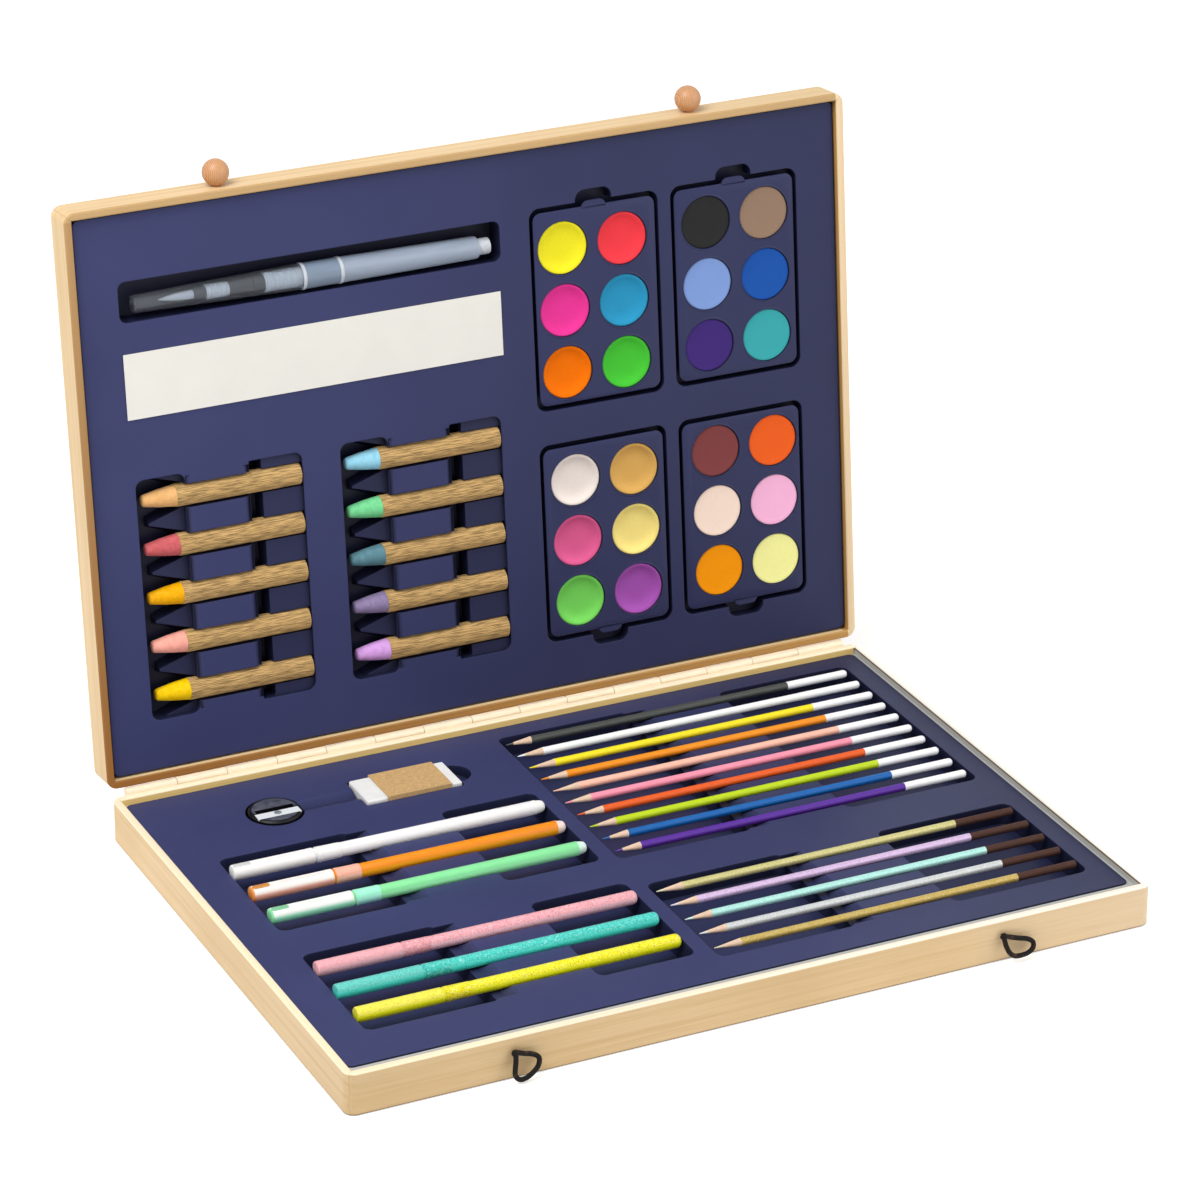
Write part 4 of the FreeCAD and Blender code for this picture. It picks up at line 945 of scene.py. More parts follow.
def turned_wood(name, body):
    """Turned ball with the rings of its grain."""
    finish = Finish(name, Coat_Weight=0.2, Coat_Roughness=0.3)
    rings = finish.add("ShaderNodeTexWave", {
        "Vector": finish.spread((150, 60, 150)), "Scale": 3.0, "Distortion": 3.0, "Detail": 3.0}).outputs["Fac"]
    pores = finish.streaks((1600, 300, 1600))
    tinted = finish.shades(rings, body, (0.1, 0.82), (0.6, 1), (0.95, 1.12))
    finish.tint(finish.mix(finish.ramp(pores, (0.3, 0.4), (0.45, 0.0)), tinted, shade(body, 0.6)))
    finish.rough(rings, 0.42, 0.55)
    finish.relief(pores, 0.05, 0.6)
    return finish.material


def wear_on_node(material, *nodes):
    """Carried-over nodes take this material in their slots."""
    for node in nodes:
        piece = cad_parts[node]
        if not piece.material_slots:
            piece.data.materials.append(material)
        for slot in piece.material_slots:
            slot.material = material


# Stage
class ARTCASE_OT_stage(bpy.types.Operator):
    """Pale floor, soft studio light and the camera"""
    bl_idname = "artcase.stage"
    bl_label = "Stage"

    def execute(self, context):
        settings = context.scene.art_case_stage
        scene = context.scene
        scene.view_settings.view_transform = "Standard"
        clear()
        bpy.ops.object.camera_add(location=settings.eye, rotation=settings.turn)
        camera = context.object
        camera.data.lens = settings.lens
        camera.data.sensor_width = 36.0
        camera.data.clip_end = 20.0
        scene.camera = camera
        self.floor()
        self.surroundings(scene, settings.sky)
        self.lamp("key_light", (-0.95, -0.35, 1.75), 1.2, settings.key)
        self.lamp("fill_light", (1.4, -1.1, 0.9), 1.4, settings.fill)
        return {"FINISHED"}

    def floor(self):
        """Pale paper that the camera sees as white and that keeps the case's shadow."""
        clear()
        bpy.ops.mesh.primitive_plane_add(size=8, location=(0, 0, -0.2 * MM))
        piece = named("floor")
        settle(piece)
        finish = Finish("floor_paper", Base_Color=(0.9, 0.9, 0.9), Roughness=0.9, Specular_IOR_Level=0.1)
        path = finish.add("ShaderNodeLightPath").outputs
        seen = finish.larger(path["Is Camera Ray"], path["Is Glossy Ray"])
        seen = finish.larger(seen, path["Is Transmission Ray"])
        finish.put(finish.shader, "Emission Color", WHITE)
        finish.put(finish.shader, "Emission Strength", finish.times(seen, 0.45))
        dress(piece, finish.material)

    def surroundings(self, scene, strength):
        """Even light, and plain white where the camera sees it."""
        world = bpy.data.worlds.new("studio")
        world.use_nodes = True
        scene.world = world
        nodes = world.node_tree.nodes
        links = world.node_tree.links
        background = nodes["Background"]
        background.inputs["Color"].default_value = (1, 1, 1, 1)
        path = nodes.new("ShaderNodeLightPath").outputs
        seen = path["Is Camera Ray"]
        for other in ("Is Glossy Ray", "Is Transmission Ray"):
            larger = nodes.new("ShaderNodeMath")
            larger.operation = "MAXIMUM"
            links.new(seen, larger.inputs[0])
            links.new(path[other], larger.inputs[1])
            seen = larger.outputs[0]
        level = nodes.new("ShaderNodeMapRange")
        level.inputs["To Min"].default_value = strength
        level.inputs["To Max"].default_value = 1.0
        links.new(seen, level.inputs["Value"])
        links.new(level.outputs[0], background.inputs["Strength"])

    def lamp(self, name, place, width, power):
        """Square soft light turned toward the case."""
        clear()
        bpy.ops.object.light_add(type="AREA", location=place)
        light = named(name)
        light.data.size = width
        light.data.energy = power
        light.rotation_euler = (-Vector(place)).to_track_quat("-Z", "Y").to_euler()


# Cords and knobs
class ARTCASE_OT_loops(bpy.types.Operator):
    """Black elastic loops on the base's front, each from its knot"""
    bl_idname = "artcase.loops"
    bl_label = "Elastic loops"

    def execute(self, context):
        settings = context.scene.art_case_loops
        finish = elastic("loop_elastic", settings.cord)
        for side, route in LOOP_ROUTES.items():
            knot = Vector((KNOB_PLACES[side] - CASE_WIDTH / 2, -CASE_DEPTH / 2 - KNOT_OUT, KNOT_HEIGHT))
            points = [knot + Vector(step) * MM for step in route]
            cord = self.cord(f"loop_cord_{side}", points, settings.radius)
            lump = self.knot(f"loop_knot_{side}", knot, settings.knot_radius)
            for piece in (cord, lump):
                dress(piece, finish)
            stand_in(cord, f"loop_{side}", "elastic_cord", f"loop_{side}")
            stand_in(lump, f"loop_{side}", "elastic_cord")
        return {"FINISHED"}

    def cord(self, name, points, radius):
        """Round cord on one smooth spline."""
        line = bpy.data.curves.new(name, "CURVE")
        line.dimensions = "3D"
        line.bevel_depth = radius
        line.bevel_resolution = 4
        line.resolution_u = 8
        line.use_fill_caps = True
        spline = line.splines.new("NURBS")
        spline.points.add(len(points) - 1)
        for target, point in zip(spline.points, points):
            target.co = (*point, 1)
        spline.order_u = 3
        spline.use_endpoint_u = True
        piece = bpy.data.objects.new(name, line)
        bpy.context.collection.objects.link(piece)
        return piece

    def knot(self, name, centre, radius):
        """Wound lump with two grooves."""
        clear()
        bpy.ops.mesh.primitive_uv_sphere_add(segments=24, ring_count=14, radius=radius)
        piece = named(name)
        for band in (-0.35, 0.35):
            scaled(piece, lambda v: abs(v.co.z / radius - band) < 0.12, (0.8, 0.8, 1))
        moved(piece, Matrix.Translation(centre) @ Matrix.Rotation(math.radians(50), 4, "Y"))
        smooth(piece, 80)
        return piece


class ARTCASE_OT_knobs(bpy.types.Operator):
    """Turned ball knobs on the lid's front edge"""
    bl_idname = "artcase.knobs"
    bl_label = "Knobs"

    def execute(self, context):
        settings = context.scene.art_case_loops
        finish = turned_wood("knob_wood", settings.knob)
        radius = settings.knob_radius
        foot = -radius + 0.1 * MM
        crown = radius * 0.965
        stem_low = foot - DOWEL_SUNK * MM
        knobs = []
        for side, x in KNOB_PLACES.items():
            clear()
            bpy.ops.mesh.primitive_uv_sphere_add(segments=40, ring_count=24, radius=radius)
            ball = named(f"knob_ball_{side}")
            scaled(ball, lambda v: v.co.z < foot + 0.2 * MM, (1, 1, 0), (0, 0, foot))
            scaled(ball, lambda v: v.co.z > crown, (1, 1, 0.4), (0, 0, crown))
            stem = turned(f"knob_dowel_{side}", [(0, DOWEL_RADIUS), (DOWEL_LENGTH, DOWEL_RADIUS)], 24)
            moved(stem, Matrix.Translation((0, 0, stem_low)) @ UPRIGHT)
            knob = joined(f"knob_{side}", [ball, stem])
            place = LID_PLACE @ Matrix.Translation((x, CASE_DEPTH + radius - 0.1 * MM, -LID_HEIGHT / 2))
            moved(knob, place @ Matrix.Rotation(-math.pi / 2, 4, "X"))
            smooth(knob)
            dress(knob, finish)
            knobs.append(knob)
        stand_in(knobs[0], "lid", "knob_wood", "knobs")
        stand_in(knobs[1], "lid", "knob_wood")
        return {"FINISHED"}


# Case
class ARTCASE_OT_case(bpy.types.Operator):
    """Finishes of the walls, panels, trays, card strips, hinge and label"""
    bl_idname = "artcase.case"
    bl_label = "Case"

    def execute(self, context):
        settings = context.scene.art_case_body
        # Painted light and shade: each rim's lit or shaded tone.
        base_rim_lighting = (
            settings.base_rim, settings.base_rim_front, settings.base_rim_back, settings.base_rim_right)
        lid_rim_lighting = (settings.lid_rim, settings.lid_rim_low, settings.lid_rim_top, settings.lid_rim_right)
        wear_on_node(case_wood("base_wood", settings, base_rim_lighting, settings.base_inner, False), "base_frame")
        wear_on_node(case_wood("lid_wood", settings, lid_rim_lighting, settings.lid_inner, True), "lid_frame")
        wear_on_node(panel_board("panel_wood", settings.wood, settings.grain), "base_panel", "lid_panel")
        wear_on_node(formed_sheet("base_tray_plastic", settings.tray), "base_tray")
        wear_on_node(formed_sheet("lid_tray_plastic", settings.lid_tray, True, True), "lid_tray")
        # Painted light: the hinge's tone is near cream-white, standing for the brightly lit strip along the hinge
        # line.
        wear_on_node(metal("hinge_brass", settings.brass, (0.4, 0.55), (0.2, 1, 1), 0.15), "hinge_base", "hinge_lid")
        wear_on_node(grained(
            "grey_card", settings.card, ((0.35, 0.86), (0.65, 1.06)), (900, 2600, 1500), 4.0, 0.05, distortion=1.2,
            Specular_IOR_Level=0.2, Roughness=0.9), "base_spacer")
        wear_on_node(label_card("label_card", settings.label), "label_strip")
        return {"FINISHED"}


# Pencils
def pencil_shape(name, settings, metallic):
    """Blunted lead, cone and shaft, with a domed dipped end or a flat-cut end that shows the core."""
    radius, length, core, point, cone, dip, bare = measures(
        settings, "radius", "length", "lead_radius", "point", "cone", "dip", "bare_end")
    end = length - (bare if metallic else dip)
    outline = [(0, 0.12), (0.08, 0.2), (point, core), (point + COAT, core + COAT), (cone, radius - COAT),
               (cone + COAT, radius), (end, radius)]
    if metallic:
        outline += [(end + COAT, radius - COAT), (length - COAT, radius - COAT), (length, radius - 3 * COAT),
                    (length, core), (length - 2 * COAT, core)]
    else:
        outline += [(end + COAT, radius + COAT)] + arc(length - radius, radius, radius + COAT)
    piece = turned(name, outline, 28)
    region(piece, 1, -1, point)
    region(piece, 2, point, cone)
    region(piece, 3, end, length + 1)
    if metallic:
        region(piece, 1, length - 3 * COAT, length + 1, core / 2)
    smooth(piece, 40)
    return piece


def pencil_row(settings, model, paints, node_name, finishes):
    """Copies of the model in their nodes' places, each with its own paint."""
    for number, paint in enumerate(paints, start=1):
        node = node_name.format(number)
        piece = copied(model, f"{node}_{paint}", axis_start(node))
        dress(piece, *finishes(paint, tuple(getattr(settings, paint))))
        stand_in(piece, node, "pencil_wood", node)
    discard(model)


class ARTCASE_OT_pencils(bpy.types.Operator):
    """Ten colouring pencils with dipped ends"""
    bl_idname = "artcase.pencils"
    bl_label = "Pencils"

    def execute(self, context):
        settings = context.scene.art_case_pencils
        wood = bare_wood("pencil_cone_wood", settings.wood)
        dipped = lacquer("pencil_dip", settings.dipped)
        paints = ("graphite", "white", "yellow", "orange", "peach", "pink", "red_orange", "lime", "blue", "purple")
        pencil_row(
            settings, pencil_shape("pencil_model", settings, False), paints, "pencil_{:02d}",
            lambda paint, body: (lacquer(f"{paint}_lacquer", body), lead(f"{paint}_lead", body), wood, dipped))
        return {"FINISHED"}


class ARTCASE_OT_metallic_pencils(bpy.types.Operator):
    """Five metallic pencils with bare dark ends"""
    bl_idname = "artcase.metallic_pencils"
    bl_label = "Metallic pencils"

    def execute(self, context):
        settings = context.scene.art_case_pencils
        wood = bare_wood("metallic_cone_wood", settings.wood)
        dark = bare_wood("dark_end_wood", settings.dark_wood, 0.6)
        paints = ("pale_gold", "lilac", "mint", "silver", "gold")
        pencil_row(
            settings, pencil_shape("metallic_model", settings, True), paints, "metallic_pencil_{}",
            lambda paint, body: (
                pearl_lacquer(f"{paint}_pearl", body), lead(f"{paint}_core", toward(body, WHITE, 0.4)), wood, dark))
        return {"FINISHED"}


# Pens
def pen_shape(name, settings, kind, round_tail):
    """Neck, nib, collar, sleeve, barrel and tail."""
    length, ring_length, sleeve_length, tail_length, radius, cap_radius, cap_length = measures(
        settings, "length", "collar", "sleeve", "tail", f"{kind}_radius", f"{kind}_cap_radius", f"{kind}_cap")
    collar = cap_length + PEN_SEAM
    sleeve = collar + ring_length
    barrel = sleeve + sleeve_length
    tail = length - tail_length
    neck = cap_radius - 1.0
    ring = collar + 0.8
    low_ring = cap_radius - 2 * PEN_STEP
    outline = [
        (cap_length - CAP_HOLLOW, 0.5), (cap_length - 20.0, 1.0), (cap_length - 17.0, 1.0),
        (cap_length - 17.0, neck), (collar - PEN_SEAM, neck), (collar - PEN_SEAM, low_ring), (ring, low_ring),
        (ring + PEN_STEP, cap_radius), (sleeve - PEN_STEP, cap_radius), (sleeve, cap_radius - PEN_STEP),
        (sleeve + PEN_STEP, cap_radius - PEN_STEP / 3), (barrel - PEN_STEP, cap_radius - PEN_STEP),
        (barrel, radius - PEN_STEP), (barrel + 2 * PEN_STEP, radius), (tail, radius)]
    if round_tail:
        outline += arc(length - 2.2, 2.2, radius, 0.3 * radius)
    else:
        outline += [(tail + 0.6, radius - 0.25), (length - 1.6, 2.7), (length - 0.6, 2.3), (length, 1.5)]
    piece = turned(name, outline, 40)
    region(piece, 1, ring, barrel - PEN_STEP / 2)
    region(piece, 2, tail + 0.1, length + 1)
    smooth(piece, 40)
    return piece


def cap_shape(name, settings, kind, flat):
    """Hollow cap, with a flat along its top where flat gives its depth."""
    length, radius = measures(settings, f"{kind}_cap", f"{kind}_cap_radius")
    lip = 0.175
    inner = radius - CAP_WALL
    outline = [(0, radius - 0.7), (0.12, radius - 0.3), (0.45, radius - 0.06), (0.9, radius)]
    outline += [(length * share, radius) for share in (0.2, 0.4, 0.6, 0.8)]
    outline += [(length - 3.4, radius), (length - 2.6, radius), (length - lip, radius), (length, radius - lip),
                (length, inner), (length - CAP_HOLLOW, inner)]
    piece = turned(name, outline, 48)
    if flat:
        level = (radius - flat) * MM
        scaled(piece, lambda v: v.co.z > level and v.co.x < (length - 3.0) * MM, (1, 1, 0), (0, 0, level))
    smooth(piece, 20)
    return piece


class ARTCASE_OT_markers(bpy.types.Operator):
    """Three markers and their caps"""
    bl_idname = "artcase.markers"
    bl_label = "Markers"

    def execute(self, context):
        settings = context.scene.art_case_pens
        model = pen_shape("marker_model", settings, "marker", False)
        cap_model = cap_shape("marker_cap_model", settings, "marker", MARKER_FLAT)
        region(cap_model, 1, -1, 1.2)
        level = settings.marker_cap_radius / MM - MARKER_FLAT
        bar_model = slab("marker_bar_model", (0.9, 8.8), (-1.5, 1.5), (level - 0.2, level + 0.3), 1.3, 0.12)
        smooth(bar_model)
        off_white = tone(255, 251, 246)
        for number, paint in enumerate(("white", "orange", "green"), start=1):
            node = f"marker_{number}"
            start = axis_start(f"marker_cap_{number}")
            start.z = BASE_SURFACE + MARKER_RAISE * MM
            body = tuple(getattr(settings, paint))
            sleeve = tuple(getattr(settings, f"{paint}_sleeve"))
            # Painted light: barrels and sleeves take lighter tones on their undersides; the caps are painted pale
            # along the top, as lit, over a sleeve-coloured underside.
            barrel = pen_plastic(f"marker_{paint}", body, low=shade(body, 1.5))
            ring = pen_plastic(f"marker_{paint}_sleeve", sleeve, low=shade(sleeve, 1.3))
            tail = pen_plastic(f"marker_{paint}_tail", toward(sleeve, off_white, 0.5))
            side = pen_plastic(f"marker_{paint}_cap", toward(sleeve, off_white, 0.85), 0.36, sleeve, 0.4)
            front = pen_plastic(f"marker_{paint}_cap_front", toward(body, sleeve, 0.2))
            pen = copied(model, f"{node}_pen", start)
            dress(pen, barrel, ring, tail)
            cap = copied(cap_model, f"{node}_cap_shell", start)
            dress(cap, side, front)
            bar = copied(bar_model, f"{node}_cap_bar", start)
            dress(bar, front)
            stand_in(pen, node, "pen_plastic", node)
            stand_in(cap, node, "cap_plastic", f"marker_cap_{number}")
            stand_in(bar, node, "cap_plastic")
        discard(model, cap_model, bar_model)
        return {"FINISHED"}


class ARTCASE_OT_glitter_pens(bpy.types.Operator):
    """Three glitter pens and their caps"""
    bl_idname = "artcase.glitter_pens"
    bl_label = "Glitter pens"

    def execute(self, context):
        settings = context.scene.art_case_pens
        model = pen_shape("glitter_model", settings, "glitter", True)
        cap_model = cap_shape("glitter_cap_model", settings, "glitter", 0)
        for number, paint in enumerate(("pink", "teal", "yellow"), start=1):
            node = f"glitter_pen_{number}"
            start = axis_start(f"glitter_cap_{number}")
            body = tuple(getattr(settings, paint))
            # Painted light: the barrels and caps take lighter tones on their undersides.
            coarse = glitter(f"glitter_{paint}", body, 2300.0, low=shade(body, 1.35))
            sleeve = glitter(f"glitter_{paint}_sleeve", shade(body, 0.92), 2000.0)
            fine = glitter(f"glitter_{paint}_cap", toward(body, WHITE, 0.08), 3400.0, 0.14, shade(body, 1.3), 0.4)
            pen = copied(model, f"{node}_pen", start)
            dress(pen, coarse, sleeve, coarse)
            cap = copied(cap_model, f"{node}_cap_shell", start)
            dress(cap, fine)
            stand_in(pen, node, "pen_plastic", node)
            stand_in(cap, node, "cap_plastic", f"glitter_cap_{number}")
        discard(model, cap_model)
        return {"FINISHED"}


# Sharpener and eraser
class ARTCASE_OT_small_tools(bpy.types.Operator):
    """Sharpener with its blade and screw, and the eraser in its card band"""
    bl_idname = "artcase.small_tools"
    bl_label = "Sharpener and eraser"

    def execute(self, context):
        settings = context.scene.art_case_tools
        low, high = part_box("sharpener_body")
        centre = (Vector(low) + Vector(high)) / 2
        wear_on_node(dark_plastic(
            "sharpener_plastic", settings.body, settings.body_ring, centre, (high[1] - low[1]) / 2), "sharpener_body")
        wear_on_node(rubber("eraser_rubber", settings.rubber), "eraser")
        wear_on_node(hatched_card("eraser_card", settings.sleeve), "eraser_sleeve")
        blade, screw = self.blade(settings), self.screw()
        low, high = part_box("sharpener_blade")
        middle = Vector(((low[0] + high[0]) / 2, (low[1] + high[1]) / 2, high[2] - 0.5 * MM))
        for piece, finish in (
                (blade, metal("blade_steel", settings.steel, (0.3, 0.44), (0.1, 1, 1), 0.1)),
                (screw, metal("screw_steel", settings.screw, (0.3, 0.44), WHITE, 0.3))):
            moved(piece, middle)
            smooth(piece)
            dress(piece, finish)
        stand_in(blade, "sharpener", "blade_steel", "sharpener_blade")
        stand_in(screw, "sharpener", "blade_steel")
        return {"FINISHED"}

    def blade(self, settings):
        """Flat blade with its cutting edge ground."""
        length, width, thickness = measures(settings, "blade_length", "blade_width", "blade_thickness")
        piece = slab("sharpener_blade_plate", (-length / 2, length / 2), (-width / 2, width / 2), (-thickness, 0))
        bevelled(piece, lambda e: all(v.co.y > 0 and v.co.z > -0.1 * MM for v in e.verts), BLADE_GRIND, 1)
        return piece

    def screw(self):
        """Cheese-head screw with a slot."""
        piece = turned("sharpener_screw", [
            (-3.3, 0.9), (0, 0.9), (0, 1.7), (0.3, 1.65), (0.48, 1.2), (0.5, 0.6)], 28)
        moved(piece, UPRIGHT)
        slot = slab("screw_slot", (-2.0, 2.0), (-0.2, 0.2), (0.18, 1.0))
        moved(slot, Matrix.Rotation(math.radians(35), 4, "Z"))
        cut(piece, slot)
        return piece


# Crayons
class ARTCASE_OT_crayons(bpy.types.Operator):
    """Ten wax crayons in ribbed paper"""
    bl_idname = "artcase.crayons"
    bl_label = "Crayons"

    def execute(self, context):
        settings = context.scene.art_case_crayons
        stick_model, paper_model = self.stick(settings), self.paper(settings)
        paper_finish = kraft("crayon_paper", settings.paper)
        for number, paint in enumerate((
                "tan", "rose", "amber", "salmon", "yellow", "sky", "green", "slate", "mauve", "lilac"), start=1):
            node = f"crayon_{number:02d}"
            start = axis_start(node)
            stick = copied(stick_model, f"{node}_{paint}_wax", start)
            dress(stick, wax(f"{paint}_wax", tuple(getattr(settings, paint))))
            paper = copied(paper_model, f"{node}_paper", start)
            dress(paper, paper_finish)
            stand_in(stick, node, "crayon_wax", node)
            stand_in(paper, node, "kraft_card")
        discard(stick_model, paper_model)
        return {"FINISHED"}

    def stick(self, settings):
        """Blunt moulded tip on its stick."""
        length, radius, tip, end = measures(settings, "length", "radius", "tip", "tip_radius")
        core = radius - 0.4
        piece = turned("crayon_wax_model", [
            (0, end - 1.3), (0.12, end - 0.75), (0.45, end - 0.25), (1.1, end), (tip / 2, (end + radius) / 2),
            (tip - 1.2, radius - 0.35), (tip - 0.2, radius - 0.25), (tip, radius - 0.3), (tip, core),
            (length - 0.3, core), (length - 0.3, core - 1.5)], 48)
        smooth(piece, 50)
        return piece

    def paper(self, settings):
        """Open paper tube with grooves between its ribs."""
        length, radius, tip = measures(settings, "length", "radius", "tip")
        core = radius - 0.4
        piece = turned("crayon_paper_model", [
            (tip, core), (tip, radius - 0.08), (tip + 0.1, radius), (length / 2, radius), (length - 0.1, radius),
            (length, radius - 0.08), (length, core)], 2 * CRAYON_RIBS)
        choose(piece, "FACE", lambda f: len(f.verts) > 8)
        bpy.ops.mesh.delete(type="ONLY_FACE")
        choose(piece, "EDGE", lambda e: len(e.link_faces) == 1)
        bpy.ops.mesh.bridge_edge_loops()
        outer = (radius - 0.2) * MM

        def in_groove(vertex):
            share = math.atan2(vertex.co.z, vertex.co.y) / (2 * math.pi)
            return math.hypot(vertex.co.y, vertex.co.z) > outer and round(share * 2 * CRAYON_RIBS) % 2 == 1
        choose(piece, "VERT", in_groove)
        bpy.ops.transform.resize(value=(1, 0.972, 0.972), center_override=(0, 0, 0))
        outward()
        return piece


# Palettes
PAINT_SETS = (
    (("yellow", 240, 228, 40), ("red", 240, 62, 72), ("magenta", 232, 56, 150), ("blue", 44, 148, 190),
     ("orange", 244, 116, 0), ("green", 72, 196, 56)),
    (("charcoal", 42, 42, 42), ("taupe", 148, 122, 102), ("sky", 128, 156, 214), ("cobalt", 30, 84, 168),
     ("violet", 66, 44, 118), ("teal", 60, 168, 172)),
    (("pearl", 236, 224, 216), ("gold", 216, 168, 90), ("rose", 222, 94, 146), ("straw", 248, 226, 134),
     ("leaf", 120, 214, 94), ("plum", 166, 84, 176)),
    (("maroon", 130, 66, 66), ("vermilion", 242, 98, 34), ("blush", 254, 228, 210), ("candy", 254, 186, 222),
     ("tangerine", 255, 156, 8), ("cream", 255, 252, 164)))
PAN_SHIFTS = ((-1.2, -1.6), (0.3, -0.8), (0.3, -0.5), (1.6, 0.8))
PALETTE_MIDDLES = ((249.7, 183.8), (320.0, 183.8), (249.7, 73.3), (320.0, 73.3))


class ARTCASE_OT_palettes(bpy.types.Operator):
    """Four palettes of six pans, each with its cake of paint"""
    bl_idname = "artcase.palettes"
    bl_label = "Palettes"

    def execute(self, context):
        settings = context.scene.art_case_paints
        plastic = formed_sheet("palette_plastic", context.scene.art_case_body.lid_tray, True)
        pan_model, hole_model = self.pan(settings)
        dished = self.cake("dished_cake_model", settings, "dish")
        flat = self.cake("flat_cake_model", settings, "flat_dish")
        for number, paints in enumerate(PAINT_SETS, start=1):
            row, column = divmod(number - 1, 2)
            node = f"palette_{number}"
            place = LID_PLACE @ Matrix.Translation(
                (PALETTE_MIDDLES[number - 1][0] * MM, PALETTE_MIDDLES[number - 1][1] * MM, LID_SURFACE))
            shift = Vector((*PAN_SHIFTS[number - 1], 0)) * MM
            plate = self.plate(f"{node}_plate", settings, pan_model, hole_model, shift * (1 - 2 * row))
            moved(plate, place @ Matrix.Rotation(math.pi * row, 4, "Z"))
            dress(plate, plastic)
            stand_in(plate, node, "palette_plastic", node)
            for index, (paint, red, green, blue) in enumerate(paints):
                step = shift + Vector((
                    (index % 2 - 0.5) * settings.across, (1 - index // 2) * settings.along, 0))
                cake = copied(
                    flat if column else dished, f"{node}_paint_{paint}", place @ Matrix.Translation(step))
                dress(cake, paint_cake(f"paint_{paint}", tone(red, green, blue), number == 3))
                stand_in(cake, node, "palette_plastic")
        discard(pan_model, hole_model, dished, flat)
        return {"FINISHED"}

    def pan(self, settings):
        """Lipped pan, and the tool that cuts its hole."""
        radius, wall, depth = measures(settings, "pan_radius", "pan_wall", "pan_depth")
        outer = radius + wall
        hole = turned("hole_model", [(-2.0, radius + wall / 2), (2.0, radius + wall / 2)], 64)
        pan = turned("pan_model", [
            (-depth - wall, 3.0), (-depth - wall, radius + wall * 0.6), (-depth, outer), (-0.3, outer),
            (0.0, radius + wall * 0.9), (0.12, radius + wall * 0.6), (0.05, radius + wall * 0.2), (-0.3, radius),
            (-depth, radius), (-depth, 3.0)], 64)
        return moved(pan, UPRIGHT), moved(hole, UPRIGHT)

    def plate(self, name, settings, pan_model, hole_model, shift):
        """Plate with its tab, six holes and a lipped pan in each."""
        width, height, corner, skin, tab_width, tab_height = measures(
            settings, "width", "height", "corner", "skin", "tab_width", "tab_height")
        edge = height / 2
        plate = slab(name, (-width / 2, width / 2), (-edge, edge), (-skin, 0), corner, 0.3, 8)
        tab = slab("tab_model", (-tab_width / 2, tab_width / 2), (edge - 1.0, edge + tab_height), (-skin, 0))
        bevelled(
            tab, lambda e: all(v.co.y > edge * MM for v in e.verts) and rise_of(e) > skin * MM / 2,
            TAB_ROUND, 8)
        places = [shift + Vector((column * settings.across, row * settings.along, 0))
                  for column in (-0.5, 0.5) for row in (-1, 0, 1)]
        cut(plate, joined("holes", [copied(hole_model, "hole", place) for place in places]))
        whole = joined(name, [plate, tab] + [copied(pan_model, "pan", place) for place in places])
        smooth(whole, 40)
        return whole

    def cake(self, name, settings, dish_name):
        """Disc of paint with a soft rim and a dished face."""
        pan_radius, drop, depth, dish = measures(settings, "pan_radius", "drop", "pan_depth", dish_name)
        radius = pan_radius - 0.05
        reach = radius - 1.0
        foot = 0.02 - depth
        outline = [(foot, radius - 0.5), (foot, radius), (-drop - 0.35, radius), (-drop - 0.1, radius - 0.15),
                   (-drop, radius - 0.5), (-drop, reach)]
        outline += [(-drop - dish * (1 - share ** 5), reach * share)
                    for share in (0.9, 0.8, 0.65, 0.5, 0.35, 0.2, 0.08)]
        piece = moved(turned(name, outline, 56), UPRIGHT)
        smooth(piece, 40)
        return piece


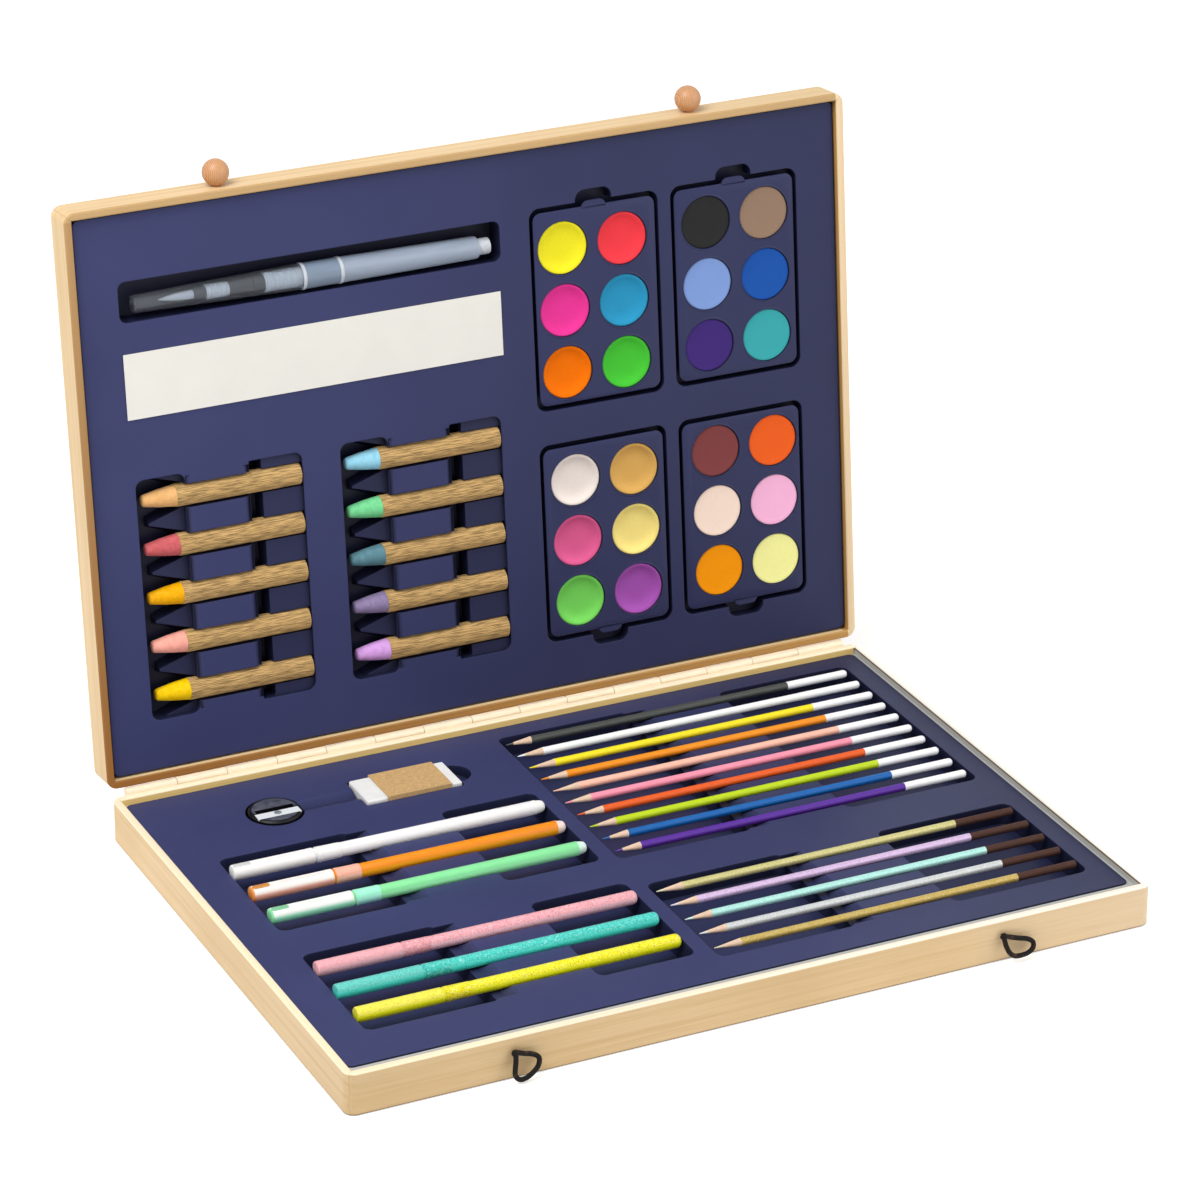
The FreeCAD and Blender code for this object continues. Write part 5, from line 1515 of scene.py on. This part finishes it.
# Water brush
class ARTCASE_OT_brush(bpy.types.Operator):
    """Water brush with its frosted barrel and clear cap"""
    bl_idname = "artcase.brush"
    bl_label = "Water brush"

    def execute(self, context):
        settings = context.scene.art_case_brush
        start = axis_start("brush_cap")
        frost = frosted("brush_frost", settings.frost)
        pale = frosted("brush_pale", toward(settings.frost, WHITE, 0.5))
        collar = frosted("brush_collar", settings.collar_frost)
        grip = pen_plastic("brush_grip", tone(232, 235, 238))
        dark = pen_plastic("brush_feed", tone(46, 50, 54))
        hair = bare_wood("brush_hair", settings.hair, 0.8, 2.0)
        clear_plastic = grained(
            "brush_clear", settings.clear, ((0.3, 0.94), (0.7, 1)), (80, 400, 400), 3.0, 0.03, (0.14, 0.26),
            strength=0.4, Transmission_Weight=0.95, IOR=1.33)
        barrel, plug, head, cap = (
            shape(settings) for shape in (self.barrel, self.plug, self.head, self.cap))
        for piece, finishes in (
                (barrel, (frost, pale, collar)), (plug, (pale,)), (head, (grip, dark, hair)), (cap, (clear_plastic,))):
            dress(piece, *finishes)
            moved(piece, start)
        stand_in(barrel, "water_brush", "brush_plastic", "water_brush")
        stand_in(plug, "water_brush", "brush_plastic")
        stand_in(head, "water_brush", "brush_plastic")
        stand_in(cap, "water_brush", "clear_plastic", "brush_cap")
        return {"FINISHED"}

    def barrel(self, settings):
        """Collar with a raised ring at each end, and the tapered barrel."""
        cap_length, collar_length, barrel_length, radius, narrow, plug = measures(
            settings, "cap_length", "collar", "barrel", "radius", "barrel_end", "plug_radius")
        collar = cap_length + BRUSH_SEAM
        end = collar + collar_length
        far = end + barrel_length
        waist = radius - 0.25
        piece = turned("brush_barrel", [
            (collar, radius - 0.9), (collar, radius - 0.2), (collar + 0.2, radius), (collar + 1.4, radius),
            (collar + 1.6, waist), (end - 1.6, waist), (end - 1.4, radius), (end - 0.2, radius), (end, waist),
            (end + 0.3, radius - 0.3), (far - 1.2, narrow), (far - 0.3, narrow - 0.15), (far, narrow - 0.5),
            (far, plug)], 48)
        region(piece, 2, collar, end)
        # The raised rings at the collar's ends take the paler frost, partly as painted highlights.
        region(piece, 1, collar, collar + 1.5)
        region(piece, 1, end - 1.5, end)
        smooth(piece, 30)
        return piece

    def plug(self, settings):
        """Ribbed end plug."""
        cap_length, collar_length, barrel_length, length, radius = measures(
            settings, "cap_length", "collar", "barrel", "plug", "plug_radius")
        start = cap_length + BRUSH_SEAM + collar_length + barrel_length
        count = 6
        pitch = (length - 1.0) / count
        places = [share * pitch for share in (0, 0.3, 0.7, 0.95)]
        outline = [(start - 0.5, radius - 0.3)] + ribs(start, pitch, count, radius - 0.25, radius, places)
        outline += [(start + length - 0.9, radius), (start + length - 0.25, radius - 0.1),
                    (start + length, radius - 0.6)]
        piece = turned("brush_plug", outline, 40)
        smooth(piece, 30)
        return piece

    def head(self, settings):
        """Pointed bristles, ferrule, threaded neck and ribbed grip."""
        base = settings.cap_length / MM + BRUSH_SEAM
        outline = [(12.3, 0.12), (15.0, 0.75), (18.5, 1.35), (22.5, 1.8), (26.5, 1.9), (28.3, 1.8), (28.3, 2.1),
                   (34.0, 2.7)]
        outline += ribs(34.3, 1.6, 6, 2.9, 3.35, (0, 0.2, 0.9, 1.1))
        outline += [(44.5, 3.1), (55.5, 3.7), (55.7, 4.1), (56.6, 4.1), (56.8, 3.7), (61.0, 3.9)]
        outline += ribs(61.5, 2.0, 8, 4.1, 4.55, (0, 0.3, 1.3, 1.6))
        outline += [(base, 4.5), (base + 1.0, 4.5)]
        piece = turned("brush_head", outline, 36)
        region(piece, 2, 0, 28.25)
        region(piece, 1, 28.25, 33.0)
        region(piece, 1, 44.0, 61.0)
        smooth(piece, 30)
        return piece

    def cap(self, settings):
        """Hollow tapered cap with a rolled mouth."""
        length, tip, mouth = measures(settings, "cap_length", "cap_tip", "cap_mouth")
        wall = 0.8
        piece = turned("brush_cap_shell", [
            (0, tip - 1.0), (0.15, tip - 0.5), (0.6, tip - 0.1), (1.2, tip), (length - 1.8, mouth - 0.1),
            (length - 1.5, mouth), (length - 0.2, mouth), (length, mouth - 0.2), (length, mouth - wall),
            (length - 1.0, mouth - wall), (2.2, tip - wall), (1.6, tip - 1.6)], 48)
        smooth(piece, 30)
        return piece


# Panel and running
class ARTCASE_PT_panel(bpy.types.Panel):
    """Lists the operators that make the art case"""
    bl_label = "Art case"
    bl_idname = "ARTCASE_PT_panel"
    bl_space_type = "VIEW_3D"
    bl_region_type = "UI"
    bl_category = "Art case"

    def draw(self, context):
        for operator in OPERATORS:
            self.layout.operator(operator.bl_idname)


SETTINGS = (
    ("art_case_body", ArtCaseBody), ("art_case_pencils", ArtCasePencils), ("art_case_pens", ArtCasePens),
    ("art_case_tools", ArtCaseSmallTools), ("art_case_crayons", ArtCaseCrayons), ("art_case_paints", ArtCasePaints),
    ("art_case_brush", ArtCaseBrush), ("art_case_loops", ArtCaseLoops), ("art_case_stage", ArtCaseStage))
OPERATORS = (
    ARTCASE_OT_stage, ARTCASE_OT_loops, ARTCASE_OT_knobs, ARTCASE_OT_case, ARTCASE_OT_pencils,
    ARTCASE_OT_metallic_pencils, ARTCASE_OT_markers, ARTCASE_OT_glitter_pens, ARTCASE_OT_small_tools,
    ARTCASE_OT_crayons, ARTCASE_OT_palettes, ARTCASE_OT_brush)


def register():
    for name, group in SETTINGS:
        bpy.utils.register_class(group)
        setattr(bpy.types.Scene, name, PointerProperty(type=group))
    for operator in OPERATORS:
        bpy.utils.register_class(operator)
    bpy.utils.register_class(ARTCASE_PT_panel)


def unregister():
    bpy.utils.unregister_class(ARTCASE_PT_panel)
    for operator in reversed(OPERATORS):
        bpy.utils.unregister_class(operator)
    for name, group in reversed(SETTINGS):
        delattr(bpy.types.Scene, name)
        bpy.utils.unregister_class(group)


def main():
    register()
    bpy.ops.artcase.stage()
    bpy.ops.artcase.loops()
    bpy.ops.artcase.knobs()
    bpy.ops.artcase.case()
    bpy.ops.artcase.pencils()
    bpy.ops.artcase.metallic_pencils()
    bpy.ops.artcase.markers()
    bpy.ops.artcase.glitter_pens()
    bpy.ops.artcase.small_tools()
    bpy.ops.artcase.crayons()
    bpy.ops.artcase.palettes()
    bpy.ops.artcase.brush()


if __name__ == "__main__":
    main()
